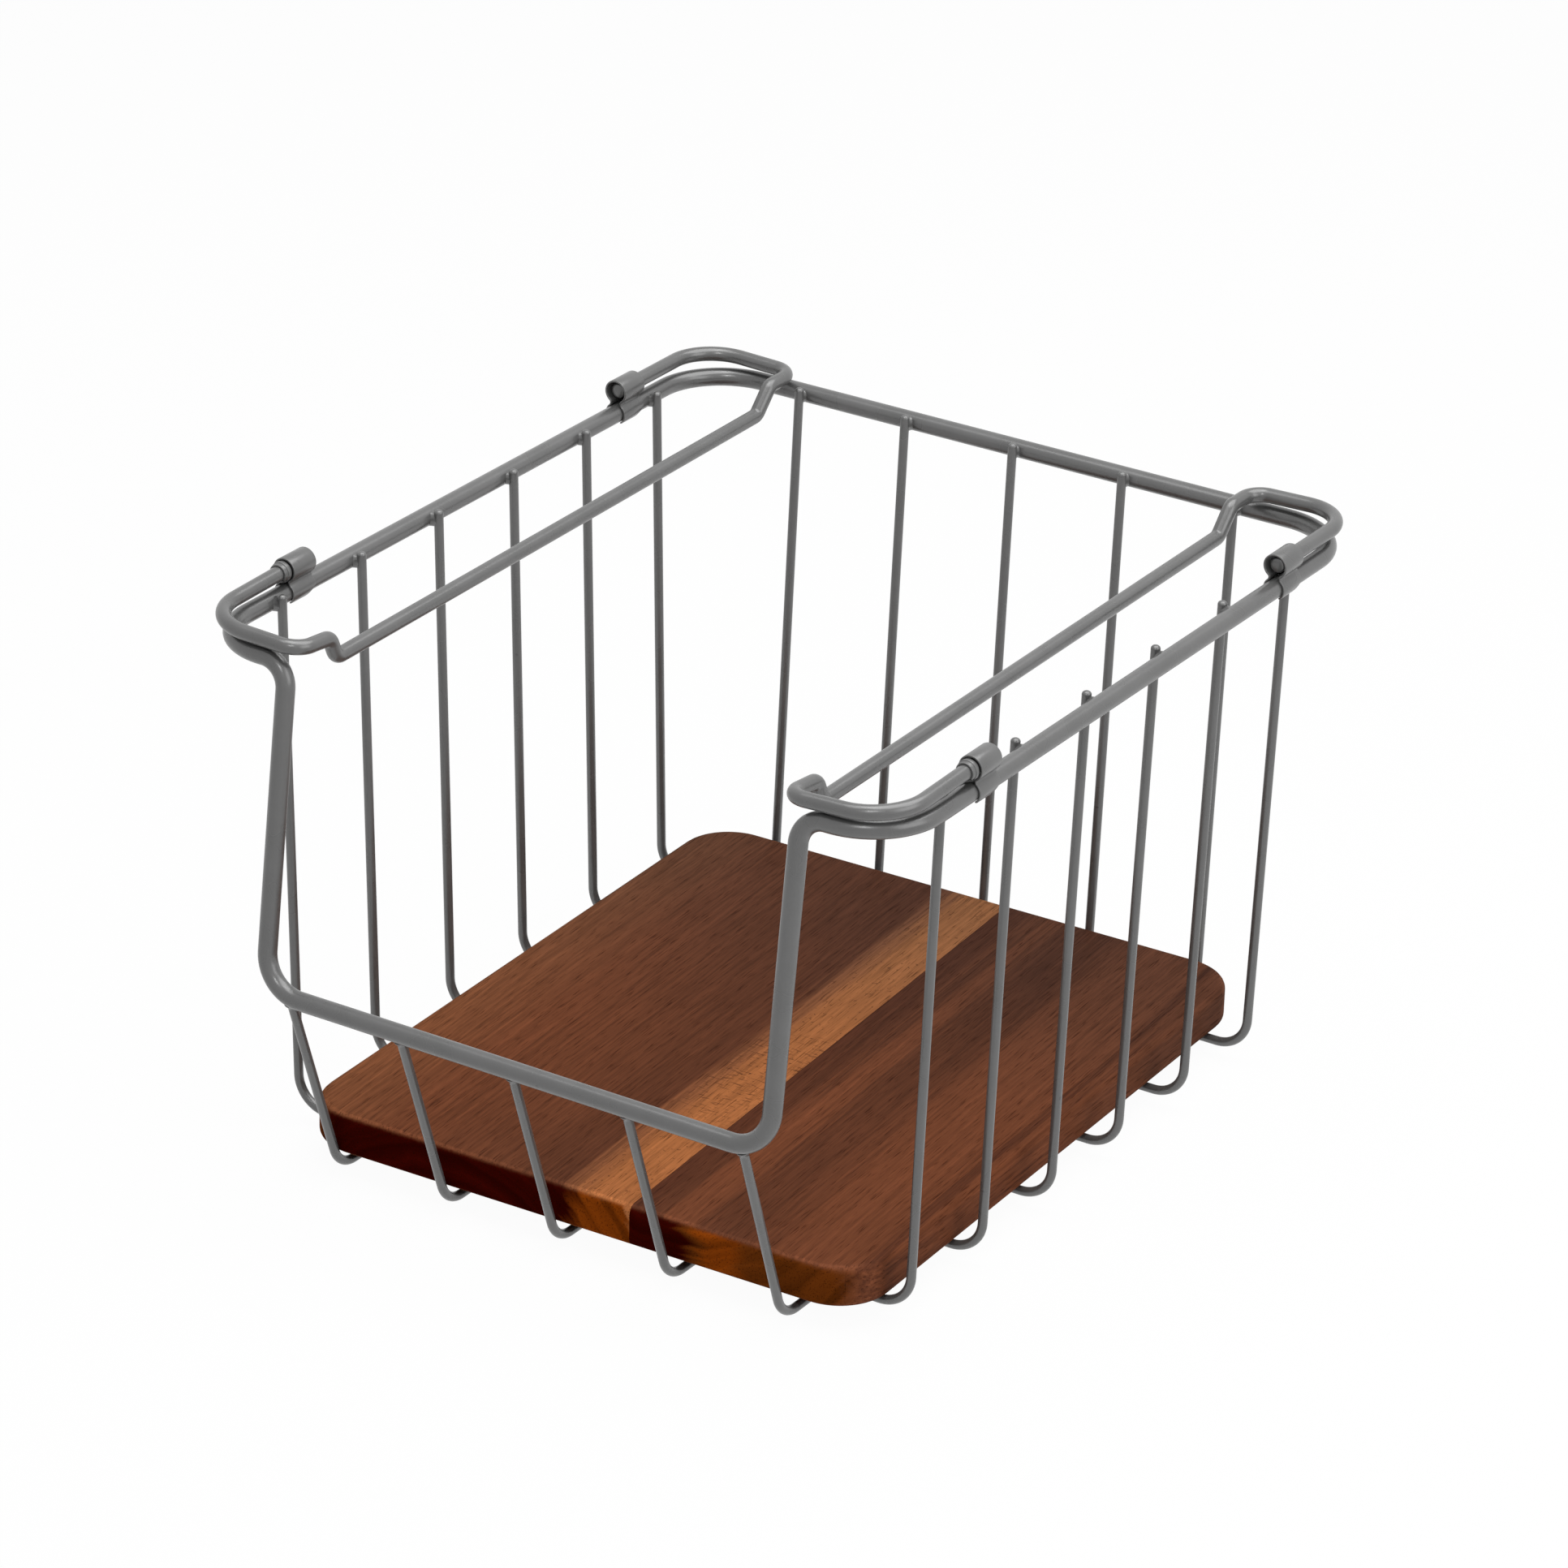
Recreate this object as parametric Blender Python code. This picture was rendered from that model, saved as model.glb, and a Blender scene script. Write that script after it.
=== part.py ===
"""Stackable wire basket with a low open front, two folding bails and a lift-out wooden board.

X runs to the right, Y to the back and Z up. The low front faces -Y. The origin lies on the
floor, under the middle of the basket. Lengths are in metres.
"""

import math

import bmesh
import bpy
from mathutils import Matrix, Vector

# Wire sizes, measured flat to flat on the twelve-sided wires
RIM_WIRE = 0.0056
THIN_WIRE = 0.0028
BAIL_WIRE = 0.0045

# Rim frame, to wire centres
RAIL_SPACING = 0.2280
RIM_DEPTH = 0.2540
RAIL_HEIGHT = 0.1625
REAR_CORNER_RADIUS = 0.0220
FRONT_CORNER_RADIUS = 0.0205
LEG_INSET = 0.0293
LEG_BEND_RADIUS = 0.0080
FRONT_LEAN = 0.0120
LIP_HEIGHT = 0.0655
LIP_CORNER_RADIUS = 0.0120

# Thin wires, to wire centres
CROSS_WIRES = 6
CROSS_FRONT_INSET = 0.03095
CROSS_BACK_INSET = 0.03255
LONG_WIRES = 5
LONG_EDGE_INSET = 0.0087
FLOOR_SIDE_INSET = 0.0090
FLOOR_FRONT_INSET = 0.0228
FLOOR_BACK_INSET = 0.0120
FLOOR_BEND_RADIUS = 0.0100
WIRE_END_RISE = 0.0032

# Bails, to wire centres
HINGE_RISE = 0.0070
BAIL_REACH = 0.0335
BAIL_FRONT_CORNER_RADIUS = 0.0155
BAIL_REAR_CORNER_RADIUS = 0.0149
BAIL_END_RADIUS = 0.0060
BAIL_STEP_RADIUS = 0.0035
BAIL_FRONT_OFFSET = 0.0007
BAIL_REAR_INSET = 0.0012
BAIL_FRONT_ARM_FALL = 0.0013
BAIL_REAR_ARM_FALL = 0.0010
BAIL_FRONT_STUB = 0.0148
BAIL_FRONT_STUB_FALL = 0.0015
BAIL_FRONT_RAMP = 0.0030
BAIL_REAR_STUB = 0.0132
BAIL_REAR_RAMP = 0.0072
BAR_FRONT_DROP = 0.0105
BAR_REAR_DROP = 0.0084

# Strap clips and stop collars
STRAP_THICKNESS = 0.0006
CLIP_LENGTH = 0.0104
CLIP_SETBACK = 0.0379
REAR_CLIP_INSET = 0.0382
CLIP_WRAP_BELOW = math.radians(62)
CLIP_WRAP_ABOVE = math.radians(58)
CLIP_NECK_ANGLE = math.radians(62)
TAB_FRONT_TAPER = 0.06
TAB_REAR_TAPER = 0.36
BAIL_END_RECESS = 0.0010
COLLAR_WALL = 0.0004
COLLAR_STEP = 0.00025
COLLAR_SEAT_LENGTH = 0.0015
COLLAR_NOSE_LENGTH = 0.0013

# Board
BOARD_THICKNESS = 0.0130
BOARD_SIDE_CLEARANCE = 0.0105
BOARD_FRONT_CLEARANCE = 0.0010
BOARD_BACK_CLEARANCE = 0.0035
BOARD_CORNER_RADIUS = 0.0165
BOARD_EDGE_RADIUS = 0.0027
BOARD_SHIFT = 0.0017
BOARD_TURN = math.radians(1.4)
GLUE_LINE_X = 0.0160
GLUE_LINE_SKEW = math.radians(1.7)
EDGE_STAVE_WIDTH = 0.0065

# Clearances
WELD_GAP = 0.0003
BAIL_REST_GAP = 0.00035
BARREL_PLAY = 0.00095
COLLAR_PLAY = 0.0003
GLUE_GAP = 0.0003

# Facets
WIRE_RESOLUTION = 4
WIRE_SIDES = 4 + 2 * WIRE_RESOLUTION
BEND_STEP = math.radians(16)
STRAP_STEP = math.radians(17)
COLLAR_SIDES = 20
SMOOTH_ANGLE = math.radians(35)

# Domed wire ends: pairs of depth from the tip and radius, both as shares of the wire's radius
DOME_PROFILE = ((0.0, 0.45), (0.18, 0.80), (0.55, 1.0))

# Places worked out from the sizes
RAIL_X = RAIL_SPACING / 2
BACK_Y = (RIM_DEPTH + FRONT_LEAN) / 2
RETURN_Y = BACK_Y - RIM_DEPTH
LIP_Y = RETURN_Y - FRONT_LEAN
LEG_X = RAIL_X - LEG_INSET
FLOOR_X = RAIL_X - FLOOR_SIDE_INSET
CROSS_START_Y = RETURN_Y + CROSS_FRONT_INSET
CROSS_PITCH = (RIM_DEPTH - CROSS_FRONT_INSET - CROSS_BACK_INSET) / (CROSS_WIRES - 1)
LONG_PITCH = 2 * (LEG_X - LONG_EDGE_INSET) / (LONG_WIRES - 1)
WELD_OFFSET = RIM_WIRE / 2 + WELD_GAP + THIN_WIRE / 2
LONG_Z = THIN_WIRE / 2
CROSS_Z = LONG_Z + THIN_WIRE + WELD_GAP
BOARD_Z = CROSS_Z + THIN_WIRE / 2 + WELD_GAP
FLOOR_FRONT_Y = LIP_Y + FLOOR_FRONT_INSET
FLOOR_BACK_Y = BACK_Y - FLOOR_BACK_INSET
HINGE_Z = RAIL_HEIGHT + HINGE_RISE
FRONT_CLIP_Y = RETURN_Y + CLIP_SETBACK + CLIP_LENGTH / 2
REAR_CLIP_Y = BACK_Y - REAR_CLIP_INSET - CLIP_LENGTH / 2
BARREL_BORE = BAIL_WIRE / 2 + BARREL_PLAY


def clear_scene():
    """Remove every object so that the part is all that the scene holds."""
    for old in list(bpy.data.objects):
        bpy.data.objects.remove(old, do_unlink=True)


def make_material(name, colour, roughness, metallic):
    """Return a Principled material with one colour."""
    material = bpy.data.materials.new(name)
    material.use_nodes = True
    shader = material.node_tree.nodes["Principled BSDF"]
    shader.inputs["Base Color"].default_value = (*colour, 1.0)
    shader.inputs["Roughness"].default_value = roughness
    shader.inputs["Metallic"].default_value = metallic
    material.diffuse_color = (*colour, 1.0)
    return material


def link(name, data, material, origin=(0.0, 0.0, 0.0)):
    """Put a mesh or curve into the scene under its node name."""
    data.materials.append(material)
    item = bpy.data.objects.new(name, data)
    item.location = origin
    bpy.context.scene.collection.objects.link(item)
    return item


def link_bmesh(name, bm, material, origin=(0.0, 0.0, 0.0)):
    """Turn a bmesh into a node, shaded smooth except across its sharp edges."""
    bmesh.ops.recalc_face_normals(bm, faces=bm.faces)
    mesh = bpy.data.meshes.new(name)
    bm.to_mesh(mesh)
    bm.free()
    mesh.shade_smooth()
    mesh.set_sharp_from_angle(angle=SMOOTH_ANGLE)
    return link(name, mesh, material, origin)


def arc_points(centre, start, end, turn):
    """Return the points of an arc about centre from start to end, which turns by turn."""
    first = start - centre
    last = end - centre
    steps = max(2, math.ceil(turn / BEND_STEP))
    points = []
    for step in range(steps + 1):
        share = step / steps
        weight_a = math.sin((1.0 - share) * turn) / math.sin(turn)
        weight_b = math.sin(share * turn) / math.sin(turn)
        points.append(centre + first * weight_a + last * weight_b)
    return points


def bent_path(corners, closed=False):
    """Return the centre line of a wire that bends at each corner.

    corners holds pairs of a point and a bend radius. A radius of 0 keeps the point.
    """
    points = []
    count = len(corners)
    for index, (corner, radius) in enumerate(corners):
        corner = Vector(corner)
        if radius == 0.0:
            points.append(corner)
            continue
        before = (Vector(corners[(index - 1) % count][0]) - corner).normalized()
        after = (Vector(corners[(index + 1) % count][0]) - corner).normalized()
        half = before.angle(after) / 2
        tangent = radius / math.tan(half)
        centre = corner + (before + after).normalized() * (radius / math.sin(half))
        start = corner + before * tangent
        end = corner + after * tangent
        points.extend(arc_points(centre, start, end, math.pi - 2 * half))
    if closed and (points[0] - points[-1]).length < 1e-6:
        points.pop()
    return points


def mirrored(points):
    """Return the points mirrored from the right side to the left."""
    return [Vector((-point.x, point.y, point.z)) for point in points]


def domed(points, radius, both_ends=True):
    """Round a wire's first end, or both: return its points and the share of the full radius at each."""
    shares = [share for _, share in DOME_PROFILE]
    first = (points[1] - points[0]).normalized()
    head = [points[0] + first * (depth * radius) for depth, _ in DOME_PROFILE]
    if not both_ends:
        return head + points[1:], shares + [1.0] * (len(points) - 1)
    last = (points[-2] - points[-1]).normalized()
    tail = [points[-1] + last * (depth * radius) for depth, _ in reversed(DOME_PROFILE)]
    middle = points[1:-1]
    return head + middle + tail, shares + [1.0] * len(middle) + shares[::-1]


def make_wire(name, points, diameter, material, closed=False, shares=None, origin=(0.0, 0.0, 0.0)):
    """Sweep a twelve-sided round wire along its centre line, with flat facets up and down."""
    curve = bpy.data.curves.new(name, "CURVE")
    curve.dimensions = "3D"
    curve.bevel_depth = diameter / 2 / math.cos(math.pi / WIRE_SIDES)
    curve.bevel_resolution = WIRE_RESOLUTION
    curve.use_fill_caps = not closed
    spline = curve.splines.new("POLY")
    spline.points.add(len(points) - 1)
    place = Vector(origin)
    for index, point in enumerate(points):
        knot = spline.points[index]
        knot.co = (*(point - place), 1.0)
        knot.tilt = math.pi / WIRE_SIDES
        knot.radius = shares[index] if shares else 1.0
    spline.use_cyclic_u = closed
    spline.use_smooth = True
    return link(name, curve, material, origin)


def make_rim(material):
    """Make the rim frame: one closed loop that drops at the front to a low rail."""
    right = [
        ((RAIL_X, BACK_Y, RAIL_HEIGHT), REAR_CORNER_RADIUS),
        ((RAIL_X, RETURN_Y, RAIL_HEIGHT), FRONT_CORNER_RADIUS),
        ((LEG_X, RETURN_Y, RAIL_HEIGHT), LEG_BEND_RADIUS),
        ((LEG_X, LIP_Y, LIP_HEIGHT), LIP_CORNER_RADIUS),
    ]
    left = [((-x, y, z), radius) for (x, y, z), radius in reversed(right)]
    corners = [((0.0, BACK_Y, RAIL_HEIGHT), 0.0)] + right + left
    make_wire("rim_frame", bent_path(corners, closed=True), RIM_WIRE, material, closed=True)


def make_cross_wires(material):
    """Make the U-shaped wires that hang between the side rails and carry the board."""
    weld_x = RAIL_X - WELD_OFFSET
    slope = (weld_x - FLOOR_X) / (RAIL_HEIGHT - CROSS_Z)
    top_z = RAIL_HEIGHT + WIRE_END_RISE
    top_x = weld_x + slope * WIRE_END_RISE
    for index in range(CROSS_WIRES):
        y = CROSS_START_Y + index * CROSS_PITCH
        corners = [
            ((-top_x, y, top_z), 0.0),
            ((-FLOOR_X, y, CROSS_Z), FLOOR_BEND_RADIUS),
            ((FLOOR_X, y, CROSS_Z), FLOOR_BEND_RADIUS),
            ((top_x, y, top_z), 0.0),
        ]
        points, shares = domed(bent_path(corners), THIN_WIRE / 2)
        make_wire(f"cross_wire_{index + 1}", points, THIN_WIRE, material, shares=shares)


def lip_rise(x):
    """Return how far the low front rail has risen at x, past the start of its corner bend."""
    past = abs(x) - (LEG_X - LIP_CORNER_RADIUS)
    if past <= 0.0:
        return 0.0
    return LIP_CORNER_RADIUS - math.sqrt(LIP_CORNER_RADIUS ** 2 - past ** 2)


def make_long_wires(material):
    """Make the wires from the back rail, under the cross wires, up to the low front rail."""
    weld_y = BACK_Y - WELD_OFFSET
    slope = (weld_y - FLOOR_BACK_Y) / (RAIL_HEIGHT - LONG_Z)
    for index in range(LONG_WIRES):
        x = (index - (LONG_WIRES - 1) / 2) * LONG_PITCH
        floor_front = Vector((x, FLOOR_FRONT_Y, LONG_Z))
        lip = Vector((x, LIP_Y, LIP_HEIGHT + lip_rise(x)))
        run = lip - floor_front
        end = lip - run.normalized() * (RIM_WIRE / 2 + WELD_GAP)
        corners = [
            ((x, weld_y + slope * WIRE_END_RISE, RAIL_HEIGHT + WIRE_END_RISE), 0.0),
            ((x, FLOOR_BACK_Y, LONG_Z), FLOOR_BEND_RADIUS),
            (floor_front, FLOOR_BEND_RADIUS),
            (end, 0.0),
        ]
        points, shares = domed(bent_path(corners), THIN_WIRE / 2, both_ends=False)
        make_wire(f"long_wire_{index + 1}", points, THIN_WIRE, material, shares=shares)


def bail_points():
    """Return the centre line of the right bail, swung inward, from its front end to its rear end.

    The front arm falls inward and rests on the rim where the rim bends down into its leg. The rear
    arm starts at the height of the hinge. The long bar between them is stepped down, so that a
    basket stacked on it is held by its floor wires.
    """
    front_y = RETURN_Y - BAIL_FRONT_OFFSET
    rear_y = BACK_Y - BAIL_REAR_INSET
    bar_x = RAIL_X - BAIL_REACH
    rest_x = LEG_X + LEG_BEND_RADIUS
    rest_z = RAIL_HEIGHT + RIM_WIRE / 2 + BAIL_REST_GAP + BAIL_WIRE / 2
    front_outer_z = rest_z + BAIL_FRONT_ARM_FALL * (RAIL_X - rest_x) / BAIL_REACH
    front_inner_z = front_outer_z - BAIL_FRONT_ARM_FALL
    rear_inner_z = HINGE_Z - BAIL_REAR_ARM_FALL
    front_step = front_y + BAIL_FRONT_STUB
    rear_step = rear_y - BAIL_REAR_STUB
    front_end = FRONT_CLIP_Y + CLIP_LENGTH / 2 - BAIL_END_RECESS
    rear_end = REAR_CLIP_Y - CLIP_LENGTH / 2 + BAIL_END_RECESS
    collar_nose = FRONT_CLIP_Y - CLIP_LENGTH / 2 - COLLAR_SEAT_LENGTH - COLLAR_NOSE_LENGTH - 2 * WELD_GAP
    rear_mouth = REAR_CLIP_Y + CLIP_LENGTH / 2
    corners = [
        ((RAIL_X, front_end, HINGE_Z), 0.0),
        ((RAIL_X, collar_nose, HINGE_Z), 0.0),
        ((RAIL_X, front_y, front_outer_z), BAIL_FRONT_CORNER_RADIUS),
        ((bar_x, front_y, front_inner_z), BAIL_END_RADIUS),
        ((bar_x, front_step, front_inner_z - BAIL_FRONT_STUB_FALL), BAIL_STEP_RADIUS),
        ((bar_x, front_step + BAIL_FRONT_RAMP, HINGE_Z - BAR_FRONT_DROP), BAIL_STEP_RADIUS),
        ((bar_x, rear_step - BAIL_REAR_RAMP, HINGE_Z - BAR_REAR_DROP), BAIL_STEP_RADIUS),
        ((bar_x, rear_step, rear_inner_z), BAIL_STEP_RADIUS),
        ((bar_x, rear_y, rear_inner_z), BAIL_END_RADIUS),
        ((RAIL_X, rear_y, HINGE_Z), BAIL_REAR_CORNER_RADIUS),
        ((RAIL_X, rear_mouth, HINGE_Z), 0.0),
        ((RAIL_X, rear_end, HINGE_Z), 0.0),
    ]
    return bent_path(corners)


def make_bails(material):
    """Make both bails, each with its origin on its hinge line above the side rail."""
    right = bail_points()
    middle_y = (FRONT_CLIP_Y + REAR_CLIP_Y) / 2
    for name, points, side in (("right_bail", right, 1), ("left_bail", mirrored(right), -1)):
        make_wire(name, points, BAIL_WIRE, material, origin=(side * RAIL_X, middle_y, HINGE_Z))


def make_collars(material):
    """Make the stepped stop collar on each bail, just outside the mouth of its front clip."""
    bore = BAIL_WIRE / 2 + COLLAR_PLAY
    nose = bore + COLLAR_WALL
    seat = nose + COLLAR_STEP
    mouth_y = -WELD_GAP
    step_y = mouth_y - COLLAR_SEAT_LENGTH
    nose_y = step_y - COLLAR_NOSE_LENGTH
    outline = [(bore, mouth_y), (seat, mouth_y), (seat, step_y), (nose, step_y), (nose, nose_y), (bore, nose_y)]
    for name, side in (("right_collar", 1), ("left_collar", -1)):
        bm = bmesh.new()
        ring = [bm.verts.new((radius, y, 0.0)) for radius, y in outline]
        edges = [bm.edges.new((ring[i - 1], ring[i])) for i in range(len(ring))]
        bmesh.ops.spin(
            bm,
            geom=ring + edges,
            axis=(0.0, 1.0, 0.0),
            cent=(0.0, 0.0, 0.0),
            angle=2 * math.pi,
            steps=COLLAR_SIDES,
        )
        bmesh.ops.remove_doubles(bm, verts=bm.verts, dist=1e-6)
        origin = (side * RAIL_X, FRONT_CLIP_Y - CLIP_LENGTH / 2, HINGE_Z)
        link_bmesh(name, bm, material, origin)


def strap_arc(centre_z, radius, start, end):
    """Return points in the XZ plane on an arc about (0, centre_z), with angles from +X."""
    steps = max(2, math.ceil(abs(end - start) / STRAP_STEP))
    points = []
    for step in range(steps + 1):
        angle = start + (end - start) * step / steps
        points.append((radius * math.cos(angle), centre_z + radius * math.sin(angle)))
    return points


def strap_profile():
    """Return the middle line of a clip's strap, from its right tab over the top to its left tab.

    Each tab closes round the rail, the neck pinches in, and the barrel goes round the bail.
    """
    wrap = RIM_WIRE / 2 + WELD_GAP + STRAP_THICKNESS / 2
    barrel = BARREL_BORE + STRAP_THICKNESS / 2
    right_tab = strap_arc(0.0, wrap, -CLIP_WRAP_BELOW, CLIP_WRAP_ABOVE)
    around = strap_arc(HINGE_RISE, barrel, -CLIP_NECK_ANGLE, math.pi + CLIP_NECK_ANGLE)
    left_tab = [(-x, z) for x, z in reversed(right_tab)]
    return right_tab + around + left_tab


def make_clips(material):
    """Make the four strap clips, each one strip bent to the strap's profile and thickened.

    The tabs narrow towards their lower ends, nearly all of it at the rear edge.
    """
    profile = strap_profile()
    lowest = min(z for _, z in profile)
    half = CLIP_LENGTH / 2
    for side_name, side in (("left", -1), ("right", 1)):
        for end_name, y in (("front", FRONT_CLIP_Y), ("rear", REAR_CLIP_Y)):
            bm = bmesh.new()
            rows = []
            for x, z in profile:
                below = max(0.0, -z) / -lowest
                front = CLIP_LENGTH * TAB_FRONT_TAPER * below - half
                rear = half - CLIP_LENGTH * TAB_REAR_TAPER * below
                rows.append((bm.verts.new((x, front, z)), bm.verts.new((x, rear, z))))
            for first, second in zip(rows, rows[1:]):
                bm.faces.new((first[0], first[1], second[1], second[0]))
            clip = link_bmesh(f"{side_name}_{end_name}_clip", bm, material, (side * RAIL_X, y, RAIL_HEIGHT))
            thicken = clip.modifiers.new("sheet", "SOLIDIFY")
            thicken.thickness = STRAP_THICKNESS
            thicken.offset = 0.0
            thicken.use_even_offset = True


def board_slab():
    """Return the whole board as a bmesh: a rounded rectangle with softened long edges."""
    half_width = FLOOR_X - BOARD_SIDE_CLEARANCE
    front = FLOOR_FRONT_Y + BOARD_FRONT_CLEARANCE
    back = FLOOR_BACK_Y - BOARD_BACK_CLEARANCE
    corners = [
        ((half_width, back, BOARD_Z), BOARD_CORNER_RADIUS),
        ((-half_width, back, BOARD_Z), BOARD_CORNER_RADIUS),
        ((-half_width, front, BOARD_Z), BOARD_CORNER_RADIUS),
        ((half_width, front, BOARD_Z), BOARD_CORNER_RADIUS),
    ]
    bm = bmesh.new()
    face = bm.faces.new([bm.verts.new(point) for point in bent_path(corners, closed=True)])
    raised = bmesh.ops.extrude_face_region(bm, geom=[face])
    top = [item for item in raised["geom"] if isinstance(item, bmesh.types.BMVert)]
    bmesh.ops.translate(bm, vec=(0.0, 0.0, BOARD_THICKNESS), verts=top)
    bmesh.ops.recalc_face_normals(bm, faces=bm.faces)
    rims = [edge for edge in bm.edges if abs(edge.verts[0].co.z - edge.verts[1].co.z) < 1e-6]
    bmesh.ops.bevel(bm, geom=rims, offset=BOARD_EDGE_RADIUS, segments=2, profile=0.5, affect="EDGES")
    return bm


def cut_slab(bm, point, normal):
    """Cut the slab by a plane, drop what lies on the plane's normal side and close the cut."""
    geometry = bm.verts[:] + bm.edges[:] + bm.faces[:]
    cut = bmesh.ops.bisect_plane(bm, geom=geometry, plane_co=point, plane_no=normal, clear_outer=True)
    loop = [item for item in cut["geom_cut"] if isinstance(item, bmesh.types.BMEdge)]
    bmesh.ops.edgeloop_fill(bm, edges=loop)


def make_board(dark, light):
    """Make the board's three glued staves from one slab, parted at the two glue lines.

    The board lies loose, a little to the right and slightly turned.
    """
    half_width = FLOOR_X - BOARD_SIDE_CLEARANCE
    across = Matrix.Rotation(GLUE_LINE_SKEW, 3, "Z") @ Vector((1.0, 0.0, 0.0))
    middle_y = (FLOOR_FRONT_Y + FLOOR_BACK_Y) / 2
    main_line = (Vector((GLUE_LINE_X, middle_y, 0.0)), across)
    edge_line = (Vector((half_width - EDGE_STAVE_WIDTH, middle_y, 0.0)), Vector((1.0, 0.0, 0.0)))
    staves = (
        ("board_left_stave", [(main_line, 1)], light),
        ("board_right_stave", [(main_line, -1), (edge_line, 1)], dark),
        ("board_edge_stave", [(edge_line, -1)], dark),
    )
    for name, cuts, material in staves:
        bm = board_slab()
        for (point, normal), side in cuts:
            cut_slab(bm, point - normal * (side * GLUE_GAP / 2), normal * side)
        lie = Matrix.Translation((BOARD_SHIFT, 0.0, 0.0)) @ Matrix.Rotation(BOARD_TURN, 4, "Z")
        bmesh.ops.transform(bm, matrix=lie, verts=bm.verts)
        link_bmesh(name, bm, material)


def build():
    """Build the whole basket."""
    clear_scene()
    coat = make_material("grey_powder_coat", (0.155, 0.155, 0.152), 0.42, 0.0)
    strap_coat = make_material("grey_strap_coat", (0.15, 0.15, 0.148), 0.45, 0.0)
    dark_wood = make_material("dark_wood", (0.105, 0.038, 0.022), 0.50, 0.0)
    light_wood = make_material("light_wood", (0.17, 0.065, 0.033), 0.50, 0.0)
    make_rim(coat)
    make_cross_wires(coat)
    make_long_wires(coat)
    make_bails(coat)
    make_collars(coat)
    make_clips(strap_coat)
    make_board(dark_wood, light_wood)


build()
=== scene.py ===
"""Fine forms, finishes and studio for a stackable wire basket with two folding bails and a board.

X runs to the right, Y to the back and Z up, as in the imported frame. Lengths are in metres.
"""

import math
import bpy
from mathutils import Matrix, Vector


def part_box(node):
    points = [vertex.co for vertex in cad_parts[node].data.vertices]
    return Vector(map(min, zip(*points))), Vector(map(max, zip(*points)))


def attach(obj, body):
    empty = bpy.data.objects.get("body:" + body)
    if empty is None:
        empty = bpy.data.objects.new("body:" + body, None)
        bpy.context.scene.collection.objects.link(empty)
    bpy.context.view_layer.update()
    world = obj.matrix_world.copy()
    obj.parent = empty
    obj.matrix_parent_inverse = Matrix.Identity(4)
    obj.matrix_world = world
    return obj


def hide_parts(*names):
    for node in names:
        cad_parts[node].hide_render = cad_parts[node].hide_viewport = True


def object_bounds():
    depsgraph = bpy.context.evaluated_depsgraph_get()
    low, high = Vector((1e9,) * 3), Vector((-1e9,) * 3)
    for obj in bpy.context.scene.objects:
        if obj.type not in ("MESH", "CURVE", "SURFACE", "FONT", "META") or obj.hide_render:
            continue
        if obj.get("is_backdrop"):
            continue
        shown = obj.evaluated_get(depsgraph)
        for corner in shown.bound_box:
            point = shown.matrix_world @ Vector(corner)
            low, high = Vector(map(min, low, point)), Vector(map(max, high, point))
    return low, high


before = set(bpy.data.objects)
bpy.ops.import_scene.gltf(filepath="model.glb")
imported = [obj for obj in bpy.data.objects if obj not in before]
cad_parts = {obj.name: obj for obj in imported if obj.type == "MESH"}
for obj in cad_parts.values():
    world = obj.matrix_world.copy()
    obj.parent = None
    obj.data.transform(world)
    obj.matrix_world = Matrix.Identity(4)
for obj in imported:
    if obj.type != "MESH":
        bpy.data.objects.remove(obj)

from types import SimpleNamespace

import bpy
import numpy as np
from bpy.props import FloatProperty, FloatVectorProperty, IntProperty, PointerProperty
from mathutils import Matrix

bl_info = {
    "name": "Wire Basket",
    "version": (1, 0, 0),
    "blender": (4, 5, 0),
    "location": "3D View > Sidebar > Basket",
    "description": "Builds the wires, clips, bails and board of a wire basket, and its studio",
    "category": "Object",
}

CAD_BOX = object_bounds()

# Wires
RIM_WIRE = 0.0056
THIN_WIRE = 0.0028
BAIL_WIRE = 0.0045
RAIL_SPACING = 0.2280
RIM_DEPTH = 0.2540
RAIL_HEIGHT = 0.1625
LIP_HEIGHT = 0.0655
FRONT_LEAN = 0.0120
LEG_INSET = 0.0293
REAR_CORNER_RADIUS = 0.0220
FRONT_CORNER_RADIUS = 0.0205
LEG_BEND_RADIUS = 0.0080
LIP_CORNER_RADIUS = 0.0120
FLOOR_BEND_RADIUS = 0.0100
FLOOR_SIDE_INSET = 0.0090
FLOOR_FRONT_INSET = 0.0228
FLOOR_BACK_INSET = 0.0120
CROSS_FRONT_INSET = 0.03095
CROSS_BACK_INSET = 0.03255
LONG_EDGE_INSET = 0.0087
WIRE_END_RISE = 0.0032
WIRE_DOME = 0.75
WELD_GAP = 0.0003
RIM_SIDES, THIN_SIDES, BAIL_SIDES = 40, 28, 36

# Bails, clips and collars
HINGE_RISE = 0.0070
BAIL_REACH = 0.0335
BAIL_FRONT_OFFSET = 0.0007
BAIL_REAR_INSET = 0.0012
BAIL_FRONT_ARM_FALL = 0.0013
BAIL_REAR_ARM_FALL = 0.0010
BAIL_FRONT_STUB = 0.0148
BAIL_FRONT_STUB_FALL = 0.0015
BAIL_FRONT_RAMP = 0.0030
BAIL_REAR_STUB = 0.0132
BAIL_REAR_RAMP = 0.0072
BAR_FRONT_DROP = 0.0105
BAR_REAR_DROP = 0.0084
BAIL_FRONT_CORNER_RADIUS = 0.0155
BAIL_REAR_CORNER_RADIUS = 0.0149
BAIL_END_RADIUS = 0.0060
BAIL_STEP_RADIUS = 0.0035
BAIL_REST_GAP = 0.00035
CLIP_LENGTH = 0.0104
CLIP_SETBACK = 0.0379
REAR_CLIP_INSET = 0.0382
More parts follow.
